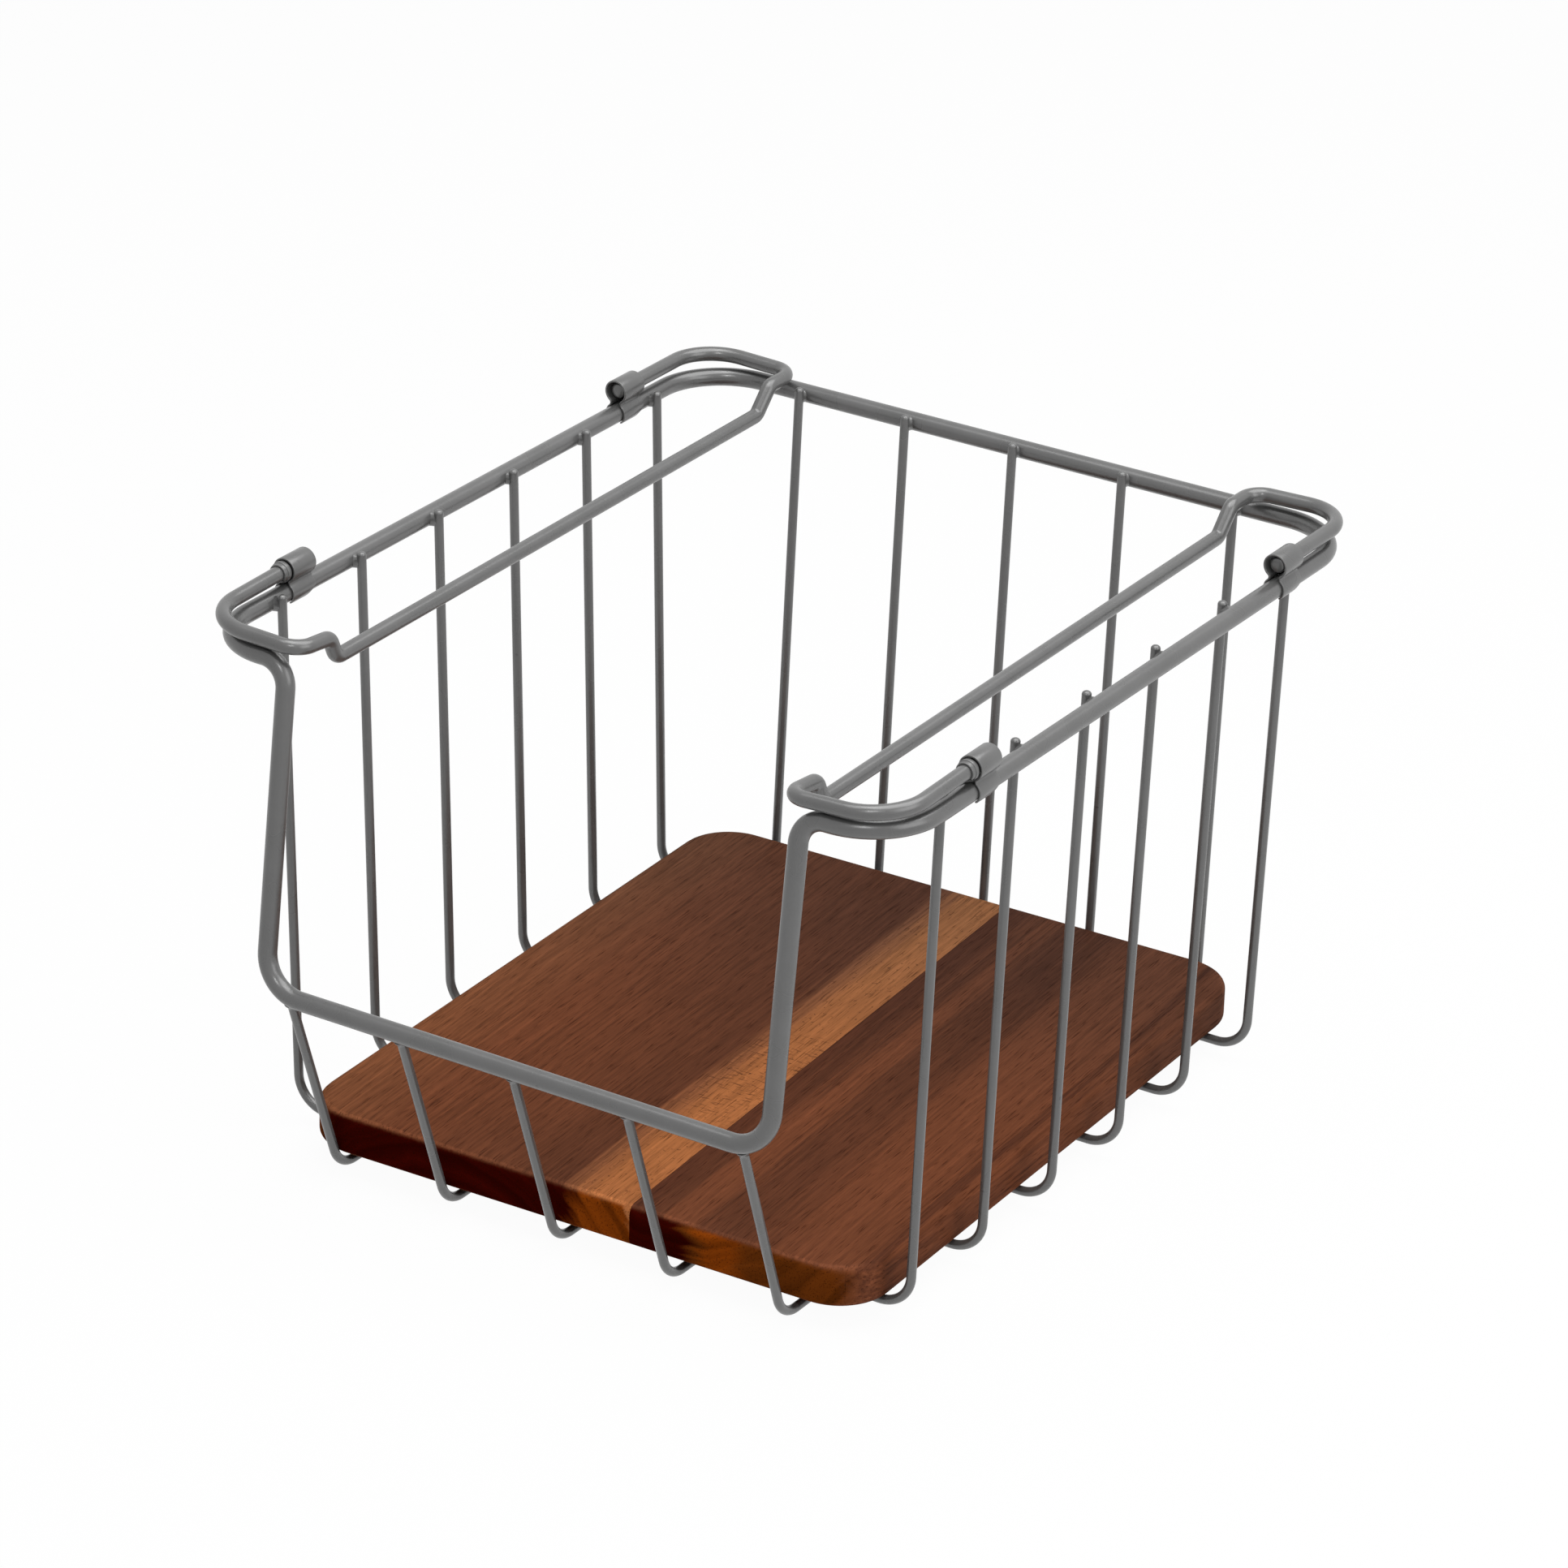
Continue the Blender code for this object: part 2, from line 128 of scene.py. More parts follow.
STRAP = 0.0006
STRAP_GAP = 0.00012
TAB_ARC = (-64, 58)
BARREL_ARC = (-62, 242)
BARREL_PLAY = 0.00095
TAB_FRONT_TAPER = 0.06
TAB_REAR_TAPER = 0.36
BAIL_END_RECESS = 0.0010
COLLAR_SEAT = 0.0015
COLLAR_NOSE = 0.0013
COLLAR_PLAY = 0.00005
COLLAR_WALL = 0.00055
COLLAR_STEP = 0.00031
COLLAR_ARC = (-33, 315)

# Board: half width, front and back, corner and edge radius, how it lies, its glue lines, and the
# points from front to back of its flats
BOARD_HALF = 0.0945
BOARD_FRONT = -0.1092
BOARD_BACK = 0.1175
BOARD_CORNER = 0.0165
BOARD_EDGE = 0.0027
BOARD_SHIFT = 0.0017
BOARD_TURN = math.radians(1.4)
GLUE_LINE_X = 0.0160
GLUE_SKEW = math.radians(1.7)
GLUE_LINE = 0.00008
EDGE_STAVE = 0.0065
FLAT_POINTS = 42
BOARD_LOW, BOARD_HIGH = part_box("board_left_stave")

# Wood: the grain's slant, and tones as display values
GRAIN_SLANT = math.radians(3.13)
UMBER = (83, 46, 30)
WALNUT = (91, 52, 34)
RUSSET = (112, 64, 41)
CHESTNUT = (129, 79, 51)
HONEY = (164, 101, 59)
END_DARK = (58, 6, 2)
END_BROWN = (106, 52, 14)
END_AMBER = (138, 64, 12)

# Bands of the staves' tops and ends: places across the grain in millimetres, and their tones
WOOD_SPAN = (-96.0, 102.0)
SAPWOOD_EDGE = -4.0
GLUE_EDGE = 18.0
LEFT_BANDS = ((-93, CHESTNUT), (-62, RUSSET), (-8, WALNUT), (-5, WALNUT), (-2, CHESTNUT), (5, HONEY))
RIGHT_BANDS = (
    (18, UMBER), (28, WALNUT), (31, RUSSET), (37, RUSSET), (41, WALNUT),
    (54, WALNUT), (66, RUSSET), (88, RUSSET), (91, UMBER), (95, RUSSET),
)
LEFT_END_BANDS = (
    (-93, END_BROWN), (-84, END_DARK), (-4, END_DARK), (2, END_AMBER), (16, END_AMBER), (20, HONEY),
)
RIGHT_END_BANDS = (
    (22, END_DARK), (35, END_DARK), (39, END_BROWN), (43, END_AMBER),
    (51, END_AMBER), (56, END_BROWN), (84, END_BROWN), (93, RUSSET),
)
# Painted shade and haze: the board's tone is multiplied by this toward the back, darker and greyer there,
# standing in for light falloff and sheen.
FAR_WOOD_PAINTED_SHADE_AND_HAZE = (0.66, 0.78, 0.98, 1.0)
DARK_PORE = (0.020, 0.006, 0.004, 1.0)
DARK_MARK = (0.075, 0.026, 0.012, 1.0)
END_PORE = (0.012, 0.003, 0.001, 1.0)

# Studio: the floor's half width, its drop below the wires and its share of even white where seen
FLOOR_REACH = 4.0
FLOOR_DROP = 0.0004
FLOOR_WHITE = 0.96

# Camera: its turn, rise and roll, what it looks at, how far off it stands and its lens
CAMERA_TURN = math.radians(32.211)
CAMERA_RISE = math.radians(25.167)
CAMERA_ROLL = math.radians(1.409)
CAMERA_TARGET = (-0.0322, 0.0558, 0.0718)
CAMERA_DISTANCE = 1.9985
CAMERA_LENS = 153.02


def unit(vectors):
    """The same vectors, each divided by its length."""
    return vectors / np.linalg.norm(vectors, axis=-1, keepdims=True)


def bent_path(corners, radii, closed=False, step=math.radians(5)):
    """Centre line of a bent wire.

    At each corner the line follows an arc that touches both straights. Its points are the centre
    plus the first radius times sin((1 - t) w) / sin(w) plus the last times sin(t w) / sin(w),
    for t from 0 to 1, where w is how far the wire turns. A radius of 0 keeps the corner.
    """
    corners = np.asarray(corners, float)
    parts = []
    for index, radius in enumerate(radii):
        corner = corners[index]
        if radius == 0:
            parts.append(corner[None])
            continue
        before = unit(corners[index - 1] - corner)
        after = unit(corners[(index + 1) % len(corners)] - corner)
        half = math.acos(before @ after) / 2
        centre = corner + unit(before + after) * radius / math.sin(half)
        first = corner + before * radius / math.tan(half) - centre
        last = corner + after * radius / math.tan(half) - centre
        turn = math.pi - 2 * half
        share = np.linspace(0, 1, max(4, math.ceil(turn / step) + 1))[:, None]
        arc = first * np.sin((1 - share) * turn) + last * np.sin(share * turn)
        parts.append(centre + arc / math.sin(turn))
    line = np.concatenate(parts)
    if closed and np.linalg.norm(line[0] - line[-1]) < 1e-6:
        line = line[:-1]
    return line


def divided(line, longest, closed=False):
    """The same line with each step cut into equal parts, none longer than longest."""
    ends = np.vstack([line, line[:1]]) if closed else line
    lengths = np.linalg.norm(np.diff(ends, axis=0), axis=1)
    parts = np.maximum(1, np.ceil(lengths / longest)).astype(int)
    step = np.repeat(np.arange(len(parts)), parts)
    place = np.arange(parts.sum()) - np.repeat(np.cumsum(parts) - parts, parts)
    points = ends[step] + (ends[step + 1] - ends[step]) * (place / parts[step])[:, None]
    return points if closed else np.vstack([points, line[-1:]])


def directions(line, closed=False):
    """Direction of the line at each point: the mean of the directions of the steps beside it."""
    ends = np.vstack([line, line[:1]]) if closed else line
    steps = unit(np.diff(ends, axis=0))
    if closed:
        return unit(steps + np.roll(steps, 1, axis=0))
    return unit(np.vstack([steps[:1], steps[1:] + steps[:-1], steps[-1:]]))


def tube(line, radii, aims, sides, closed=False):
    """Round wire: line(s) + radius(s) (cos(a) N(s) + sin(a) B(s)), for a round the section.

    N is the aim less its share along the line's direction T, made one long, and B is N x T.
    """
    along = directions(line, closed)
    normal = unit(aims - along * np.sum(aims * along, axis=1, keepdims=True))
    side = np.cross(normal, along)
    angle = np.linspace(0, 2 * np.pi, sides, endpoint=False)[None, :, None]
    ring = np.cos(angle) * normal[:, None] + np.sin(angle) * side[:, None]
    return line[:, None] + np.asarray(radii)[:, None, None] * ring


def rounded_end(line, radii, depth, steps=7):
    """Line and radii with the first end domed.

    Over a length of depth from the tip, the radius is sin(q) of the full one where the distance
    from the tip is depth (1 - cos(q)), for q from a small angle to a right angle.
    """
    quarter = np.linspace(math.radians(14), math.pi / 2, steps)
    head = line[:1] + unit(line[1] - line[0]) * (depth * (1 - np.cos(quarter)))[:, None]
    return np.vstack([head, line[1:]]), np.concatenate([radii[0] * np.sin(quarter), radii[1:]])


def flared_end(line, radii, flare, reach):
    """Line and radii whose first stretch widens into the wire that it meets.

    The radius grows by flare exp(-(d / reach) squared) of itself, at distance d from the end.
    """
    distance = np.linspace(0, 3 * reach, 14)
    head = line[:1] + unit(line[1] - line[0]) * distance[:, None]
    widths = radii[0] * (1 + flare * np.exp(-(distance / reach) ** 2))
    return np.vstack([head, line[1:]]), np.concatenate([widths, radii[1:]])


def grid_mesh(name, grids, closed_rows=False):
    """Mesh from closed shells, each a grid of rows of points round a section.

    Quads join neighbouring rows and columns. Each open end is closed by a fan to the middle of
    its row. A shell whose signed volume, a sixth of the sum of a . (b x c) over its triangles,
    is below 0 has its faces turned.
    """
    grids = np.asarray(grids, float)
    if grids.ndim == 3:
        grids = grids[None]
    shells, rows, columns, _ = grids.shape
    index = np.arange(shells * rows * columns).reshape(shells, rows, columns)
    low = index if closed_rows else index[:, :-1]
    high = np.roll(index, -1, axis=1) if closed_rows else index[:, 1:]
    corners = [low, high, np.roll(high, -1, axis=2), np.roll(low, -1, axis=2)]
    quads = np.stack(corners, axis=-1).reshape(-1, 4)
    points = grids.reshape(-1, 3)
    fans = np.zeros((0, 3), int)
    if not closed_rows:
        poles = grids[:, [0, -1]].mean(axis=2).reshape(-1, 3)
        tips = (len(points) + np.arange(2 * shells)).reshape(shells, 2)
        first, last = index[:, 0], index[:, -1]
        start = [np.broadcast_to(tips[:, :1], first.shape), first, np.roll(first, -1, axis=1)]
        end = [np.broadcast_to(tips[:, 1:], last.shape), np.roll(last, -1, axis=1), last]
        fans = np.concatenate([np.stack(start, -1).reshape(-1, 3), np.stack(end, -1).reshape(-1, 3)])
        points = np.vstack([points, poles])
    halves = np.concatenate([quads[:, [0, 1, 2]], quads[:, [0, 2, 3]], fans])
    a, b, c = (points[halves[:, corner]] for corner in range(3))
    if np.sum(a * np.cross(b, c)) < 0:
        quads, fans = quads[:, ::-1], fans[:, ::-1]
    mesh = bpy.data.meshes.new(name)
    mesh.from_pydata(points.tolist(), [], quads.tolist() + fans.tolist())
    mesh.shade_smooth()
    return mesh


def add_piece(name, mesh, finish, body, nodes=(), sharp=50):
    """Put a mesh in the scene as a piece that rides on a body and stands for the nodes."""
    mesh.set_sharp_from_angle(angle=math.radians(sharp))
    mesh.materials.append(finish)
    piece = bpy.data.objects.new(name, mesh)
    bpy.context.scene.collection.objects.link(piece)
    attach(piece, body)
    if nodes:
        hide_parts(*nodes)
    return piece


def mirrored(points):
    """The same points on the basket's left side."""
    return points * np.array([-1.0, 1.0, 1.0])


class Field:
    """A number that varies over a surface. Sums and products of fields add the Math nodes."""

    def __init__(self, tree, socket):
        self.tree = tree
        self.socket = socket

    def maths(self, operation, *values):
        return self.tree.node("ShaderNodeMath", {"operation": operation}, dict(enumerate(values)))

    def __add__(self, other):
        return self.maths("ADD", self, other)

    def __radd__(self, other):
        return self.maths("ADD", other, self)

    def __sub__(self, other):
        return self.maths("SUBTRACT", self, other)

    def __rsub__(self, other):
        return self.maths("SUBTRACT", other, self)

    def __mul__(self, other):
        return self.maths("MULTIPLY", self, other)

    def __rmul__(self, other):
        return self.maths("MULTIPLY", other, self)

    def __truediv__(self, other):
        return self.maths("DIVIDE", self, other)

    def __pow__(self, other):
        return self.maths("POWER", self, other)


class Nodes:
    """A node tree while it is filled, with one method that adds any node."""

    def __init__(self, tree):
        self.tree = tree

    def node(self, kind, settings=None, inputs=None, output=0):
        """Add a node: its settings first, then its sockets, and return one output."""
        node = self.tree.nodes.new(kind)
        for key, value in (settings or {}).items():
            if key == "stops":
                self.set_stops(node.color_ramp, value)
            else:
                setattr(node, key, value)
        for key, value in (inputs or {}).items():
            self.feed(node.inputs[key], value)
        return Field(self, node.outputs[output])

    def feed(self, socket, value):
        """Link a field to a socket, or set a plain value on it."""
        if isinstance(value, Field):
            self.tree.links.new(value.socket, socket)
        else:
            socket.default_value = value

    @staticmethod
    def set_stops(ramp, stops):
        """Give a colour ramp its stops: pairs of a position and a colour."""
        while len(ramp.elements) > 1:
            ramp.elements.remove(ramp.elements[-1])
        ramp.elements[0].position = stops[0][0]
        ramp.elements[0].color = stops[0][1]
        for position, colour in stops[1:]:
            ramp.elements.new(position).color = colour

    def seen(self):
        """1 for rays that look at a surface straight, in a mirror or through glass."""
        ways = ("Is Camera Ray", "Is Glossy Ray", "Is Transmission Ray")
        first, second, third = (self.node("ShaderNodeLightPath", output=way) for way in ways)
        return first.maths("MAXIMUM", first, second.maths("MAXIMUM", second, third))


class Finish(Nodes):
    """A material while it is made."""

    def __init__(self, name):
        self.material = bpy.data.materials.new(name)
        self.material.use_nodes = True
        super().__init__(self.material.node_tree)
        self.shader = self.tree.nodes["Principled BSDF"]

    def stretched(self, vector, stretch):
        """Coordinates multiplied by stretch."""
        return self.node("ShaderNodeVectorMath", {"operation": "MULTIPLY"}, {0: vector, 1: stretch})

    def noise(self, vector, scale, detail=3.0, roughness=0.5):
        """Noise from 0 to 1, which keeps mostly near a half."""
        values = {"Vector": vector, "Scale": scale, "Detail": detail, "Roughness": roughness}
        return self.node("ShaderNodeTexNoise", None, values)

    def rise(self, value, low, high):
        """Smooth step from 0 at low to 1 at high."""
        settings = {"interpolation_type": "SMOOTHSTEP"}
        inputs = {"Value": value, "From Min": low, "From Max": high}
        return self.node("ShaderNodeMapRange", settings, inputs)

    def ramp(self, value, stops):
        """Colour from a ramp."""
        return self.node("ShaderNodeValToRGB", {"stops": stops}, {0: value})

    def blend(self, share, first, second, mode="MIX"):
        """First colour where share is 0 and second where it is 1, by the blend mode."""
        settings = {"data_type": "RGBA", "blend_type": mode}
        return self.node("ShaderNodeMix", settings, {0: share, 6: first, 7: second}, output=2)

    def lit(self, colour, factor):
        """Colour multiplied by a factor that varies."""
        return self.node("ShaderNodeVectorMath", {"operation": "SCALE"}, {0: colour, "Scale": factor})

    def set_shader(self, **values):
        """Feed the shader's sockets, named with underscores for spaces."""
        for key, value in values.items():
            self.feed(self.shader.inputs[key.replace("_", " ")], value)

    def bump(self, height, strength, distance):
        """Normal that follows a height."""
        inputs = {"Height": height, "Strength": strength, "Distance": distance}
        self.feed(self.shader.inputs["Normal"], self.node("ShaderNodeBump", None, inputs))


def shade(colour, factor):
    """Colour with its three parts multiplied by factor, and a full alpha."""
    return (colour[0] * factor, colour[1] * factor, colour[2] * factor, 1.0)


def powder_coat(name, colour, roughness, peel):
    """Satin powder coat: faint cloudy tone, fine orange peel and a few dark specks."""
    finish = Finish(name)
    spot = finish.node("ShaderNodeTexCoord", output="Object")
    cloud = finish.noise(spot, 70.0, 2.0)
    grain = finish.noise(spot, 900.0, 2.0)
    tone = finish.blend(finish.rise(cloud, 0.35, 0.65), shade(colour, 0.94), shade(colour, 1.06))
    tone = finish.blend(finish.rise(grain, 0.3, 0.7) * 0.12, tone, shade(colour, 0.7))
    speck = finish.rise(finish.noise(spot, 330.0, 1.0), 0.775, 0.80)
    tone = finish.blend(speck * 0.5, tone, shade(colour, 0.35))
    finish.set_shader(Base_Color=tone, Roughness=roughness + (cloud - 0.5) * 0.16, Metallic=0.0)
    finish.set_shader(Specular_IOR_Level=1.0)
    finish.bump(grain + finish.noise(spot, 2400.0, 1.0) * 0.4, peel, 0.00012)
    return finish.material


def wood(name, bands, end_bands, mottle, streaks, pith):
    """Oiled wood cut along the grain, which runs front to back at a slant.

    Bands across the grain come from a ramp. Noise stretched along the grain adds streaks, fibres
    and pores, and the sapwood has short dark marks across. The rounded edges get a painted highlight,
    the tone gets painted shade and haze toward the back, and the ends show rings about the pith.
    """
    finish = Finish(name)
    spot = finish.node("ShaderNodeTexCoord", output="Object")
    turned = finish.node("ShaderNodeMapping", None, {"Vector": spot, "Rotation": (0.0, 0.0, -GRAIN_SLANT)})
    axes = [finish.node("ShaderNodeSeparateXYZ", None, {0: turned}, output=axis) for axis in range(3)]
    along = axes[1]
    low, high = WOOD_SPAN
    wander = finish.noise(finish.stretched(turned, (14.0, 9.0, 9.0)), 1.0, 2.0)
    across = axes[0] * 1000.0 + (wander - 0.5) * 2.6
    streak = finish.noise(finish.stretched(turned, (330.0, 6.0, 330.0)), 1.0, 4.0, 0.62)
    band = (across - low) / (high - low) + (streak - 0.5) * streaks
    tone = finish.ramp(band, ramp_stops(bands))
    cloud = finish.noise(finish.stretched(turned, (26.0, 12.0, 26.0)), 1.0, 3.0, 0.55)
    fibre = finish.noise(finish.stretched(turned, (1200.0, 42.0, 1200.0)), 1.0, 3.0, 0.6)
    thread = finish.noise(finish.stretched(turned, (640.0, 9.0, 640.0)), 1.0, 3.0, 0.6)
    dash = finish.noise(finish.stretched(turned, (2500.0, 110.0, 2500.0)), 1.0, 2.0, 0.55)
    pores = finish.rise(dash, 0.55, 0.70)
    light = 1.0 + (cloud - 0.5) * mottle + (fibre - 0.5) * 1.20 + (thread - 0.5) * 0.80
    tone = finish.lit(tone, light)
    tone = finish.blend(pores * 0.55, tone, DARK_PORE)
    sapwood = finish.rise(across, SAPWOOD_EDGE - 0.5, SAPWOOD_EDGE + 3.0)
    sapwood = sapwood * finish.rise(GLUE_EDGE - across, 0.0, 0.2)
    ripple = finish.noise(finish.stretched(turned, (210.0, 1150.0, 210.0)), 1.0, 2.0, 0.6)
    middle = finish.rise(along, -0.075, -0.035) * finish.rise(0.020 - along, 0.0, 0.030)
    marks = finish.rise(ripple, 0.565, 0.66) * middle
    knots = finish.rise(finish.noise(finish.stretched(turned, (900.0, 600.0, 900.0)), 1.0, 1.0), 0.66, 0.74)
    tone = finish.blend((marks * 0.70 + knots * 0.50) * sapwood, tone, DARK_MARK)
    # Painted shade and haze: darker and greyer from front to back.
    tone = finish.blend(finish.rise(along, -0.040, 0.110), tone, FAR_WOOD_PAINTED_SHADE_AND_HAZE, "MULTIPLY")

    ring_x, ring_z = axes[0] - pith[0], axes[2] - pith[1]
    radius = (ring_x * ring_x + ring_z * ring_z) ** 0.5
    ring = finish.noise(finish.stretched(turned, (60.0, 1.0, 60.0)), 1.0, 2.0) * 0.35 + radius * 55.0
    ring_values = {"W": ring, "Scale": 3.0, "Detail": 3.0}
    rings = finish.node("ShaderNodeTexNoise", {"noise_dimensions": "1D"}, ring_values)
    end_band = (across - low) / (high - low) + (rings - 0.5) * 0.09
    end_tone = finish.lit(finish.ramp(end_band, ramp_stops(end_bands)), 0.10 + rings * 1.8)
    dots = finish.noise(finish.stretched(turned, (2600.0, 60.0, 2600.0)), 1.0, 1.0)
    end_tone = finish.blend(finish.rise(dots, 0.58, 0.70) * 0.55, end_tone, END_PORE)
    facing = finish.node("ShaderNodeAttribute", {"attribute_name": "end_grain"}, output="Fac")
    ended = finish.rise(facing + (fibre - 0.5) * 0.25, 0.50, 0.90)
    # Painted highlight: the rounded edges between top and ends are made lighter, standing in for light
    # caught on the roundover.
    painted_edge_highlight = finish.rise(facing, 0.10, 0.40) * finish.rise(0.85 - facing, 0.0, 0.30)
    tone = finish.blend(ended, finish.lit(tone, 1.0 + painted_edge_highlight * 0.35), end_tone)
    finish.set_shader(Base_Color=tone, Roughness=0.60, Specular_IOR_Level=0.0)
    finish.set_shader(Coat_Weight=(1.0 - ended) * (0.10 - pores * 0.06), Coat_Roughness=0.50)
    finish.bump((1.0 - pores) * 0.6 + fibre * 0.5, 0.22, 0.00015)
    return finish.material


def srgb(red, green, blue):
    """Linear colour from display values of 0 to 255."""
    parts = [value / 255 for value in (red, green, blue)]
    return tuple(p / 12.92 if p <= 0.04045 else ((p + 0.055) / 1.055) ** 2.4 for p in parts) + (1.0,)


def ramp_stops(bands):
    """Ramp stops from places in millimetres across the grain and display colours."""
    low, high = WOOD_SPAN
    return [((place - low) / (high - low), srgb(*colour)) for place, colour in bands]


class BasketSizes(bpy.types.PropertyGroup):
    """Sizes of the wires and the frame."""

    rim_wire: FloatProperty(
        name="Rim wire", description="Diameter of the rim frame's wire", default=RIM_WIRE, unit="LENGTH",
    )
    thin_wire: FloatProperty(
        name="Thin wire", description="Diameter of the mesh wires", default=THIN_WIRE, unit="LENGTH",
    )
    bail_wire: FloatProperty(
        name="Bail wire", description="Diameter of the bails' wire", default=BAIL_WIRE, unit="LENGTH",
    )
    rail_spacing: FloatProperty(
        name="Rail spacing", description="Distance between the middles of the side rails",
        default=RAIL_SPACING, unit="LENGTH",
    )
    rim_depth: FloatProperty(
        name="Rim depth", description="Distance from the front returns to the back rail",
        default=RIM_DEPTH, unit="LENGTH",
    )
    rail_height: FloatProperty(
        name="Rail height", description="Height of the rails' middles", default=RAIL_HEIGHT, unit="LENGTH",
    )
    lip_height: FloatProperty(
        name="Lip height", description="Height of the low front rail's middle",
        default=LIP_HEIGHT, unit="LENGTH",
    )
    hinge_rise: FloatProperty(
        name="Hinge rise", description="Height of the bails' hinge lines above the rails",
        default=HINGE_RISE, unit="LENGTH",
    )
    cross_wires: IntProperty(
        name="Cross wires", description="Number of U-shaped side-to-side wires", default=6, min=2,
    )
    long_wires: IntProperty(
        name="Long wires", description="Number of front-to-back wires", default=5, min=2,
    )


class BasketColours(bpy.types.PropertyGroup):
    """Colour of the coated steel."""

    coat: FloatVectorProperty(
        name="Coat", description="Colour of the powder coat",
        default=(0.100, 0.100, 0.099), subtype="COLOR",
    )
    coat_roughness: FloatProperty(
        name="Coat roughness", description="Roughness of the powder coat", default=0.28, min=0.0, max=1.0,
    )


class StudioSettings(bpy.types.PropertyGroup):
    """Light, floor and background."""

    key_power: FloatProperty(
        name="Key light", description="Power of the broad light above the back right",
        default=16.0, unit="POWER",
    )
    top_power: FloatProperty(
        name="Top light", description="Power of the soft light overhead", default=3.7, unit="POWER",
    )
    side_power: FloatProperty(
        name="Side light", description="Power of the soft light from the right", default=6.0, unit="POWER",
    )
    front_power: FloatProperty(
        name="Front light", description="Power of the small light above the camera",
        default=3.5, unit="POWER",
    )
    sky: FloatProperty(
        name="Room light", description="Strength of the even light from all round", default=0.10,
    )
    floor: FloatVectorProperty(
        name="Floor", description="Colour of the floor", default=(0.93, 0.93, 0.93), subtype="COLOR",
    )


def places(sizes):
    """Places of the wires' middles, worked out from the sizes."""
    here = SimpleNamespace()
    here.rail_x = sizes.rail_spacing / 2
    here.back_y = (sizes.rim_depth + FRONT_LEAN) / 2
    here.return_y = here.back_y - sizes.rim_depth
    here.lip_y = here.return_y - FRONT_LEAN
    here.leg_x = here.rail_x - LEG_INSET
    here.floor_x = here.rail_x - FLOOR_SIDE_INSET
    here.long_z = sizes.thin_wire / 2
    here.cross_z = here.long_z + sizes.thin_wire + WELD_GAP
    here.floor_front_y = here.lip_y + FLOOR_FRONT_INSET
    here.floor_back_y = here.back_y - FLOOR_BACK_INSET
    here.hinge_z = sizes.rail_height + sizes.hinge_rise
    here.front_clip_y = here.return_y + CLIP_SETBACK + CLIP_LENGTH / 2
    here.rear_clip_y = here.back_y - REAR_CLIP_INSET - CLIP_LENGTH / 2
    here.cross_y = np.linspace(
        here.return_y + CROSS_FRONT_INSET, here.back_y - CROSS_BACK_INSET, sizes.cross_wires,
    )
    side = here.leg_x - LONG_EDGE_INSET
    here.long_x = np.linspace(-side, side, sizes.long_wires)
    here.weld_offset = sizes.rim_wire / 2 + WELD_GAP + sizes.thin_wire / 2
    here.weld_x = here.rail_x - here.weld_offset
    here.weld_y = here.back_y - here.weld_offset
    return here


def lip_rise(x, here):
    """Rise of the low rail's middle at x: r - sqrt(r squared - p squared), p past its corner's start."""
    past = np.maximum(0.0, np.abs(x) - (here.leg_x - LIP_CORNER_RADIUS))
    return LIP_CORNER_RADIUS - np.sqrt(LIP_CORNER_RADIUS ** 2 - past ** 2)


def coat_of(context, name="grey powder coat"):
    """The grey coat's material, made once."""
    if name in bpy.data.materials:
        return bpy.data.materials[name]
    colours = context.scene.basket_colours
    return powder_coat(name, tuple(colours.coat), colours.coat_roughness, 0.12)


class BASKET_OT_rim_frame(bpy.types.Operator):
    """Make the rim frame: one closed wire that drops at the front to a low rail"""

    bl_idname = "basket.rim_frame"
    bl_label = "Rim frame"

    def execute(self, context):
        sizes = context.scene.basket_sizes
        here = places(sizes)
        top = sizes.rail_height
        right = np.array([
            (here.rail_x, here.back_y, top),
            (here.rail_x, here.return_y, top),
            (here.leg_x, here.return_y, top),
            (here.leg_x, here.lip_y, sizes.lip_height),
        ])
        middle = np.array([[0.0, here.back_y, top]])
        radii = [REAR_CORNER_RADIUS, FRONT_CORNER_RADIUS, LEG_BEND_RADIUS, LIP_CORNER_RADIUS]
        corners = np.vstack([middle, right, mirrored(right)[::-1]])
        line = bent_path(corners, [0.0] + radii + radii[::-1], closed=True, step=math.radians(4))
        line = divided(line, 0.006, closed=True)
        aims = line - np.array([0.0, 0.0, 0.06])
        grid = tube(line, np.full(len(line), sizes.rim_wire / 2), aims, RIM_SIDES, closed=True)
        mesh = grid_mesh("rim_wire", grid, closed_rows=True)
        add_piece("rim_wire", mesh, coat_of(context), "basket", ["rim_frame"])
        return {"FINISHED"}


class BASKET_OT_cross_wires(bpy.types.Operator):
    """Make the U-shaped wires that hang between the side rails"""

    bl_idname = "basket.cross_wires"
    bl_label = "Cross wires"

    def execute(self, context):
        sizes = context.scene.basket_sizes
        here = places(sizes)
        slope = (here.weld_x - here.floor_x) / (sizes.rail_height - here.cross_z)
        top_x = here.weld_x + slope * WIRE_END_RISE
        top_z = sizes.rail_height + WIRE_END_RISE
        radius = sizes.thin_wire / 2
        for index, y in enumerate(here.cross_y):
            right = np.array([(here.floor_x, y, here.cross_z), (top_x, y, top_z)])
            bends = [0.0, FLOOR_BEND_RADIUS, FLOOR_BEND_RADIUS, 0.0]
            line = bent_path(np.vstack([mirrored(right)[::-1], right]), bends)
            radii = np.full(len(line), radius)
            line, radii = rounded_end(line, radii, WIRE_DOME * radius)
            line, radii = rounded_end(line[::-1], radii[::-1], WIRE_DOME * radius)
            aims = np.tile([0.0, 1.0, 0.0], (len(line), 1))
            name = f"cross_wire_{index + 1}"
            mesh = grid_mesh(name + "_coated", tube(line, radii, aims, THIN_SIDES))
            add_piece(name + "_coated", mesh, coat_of(context), "basket", [name])
        return {"FINISHED"}


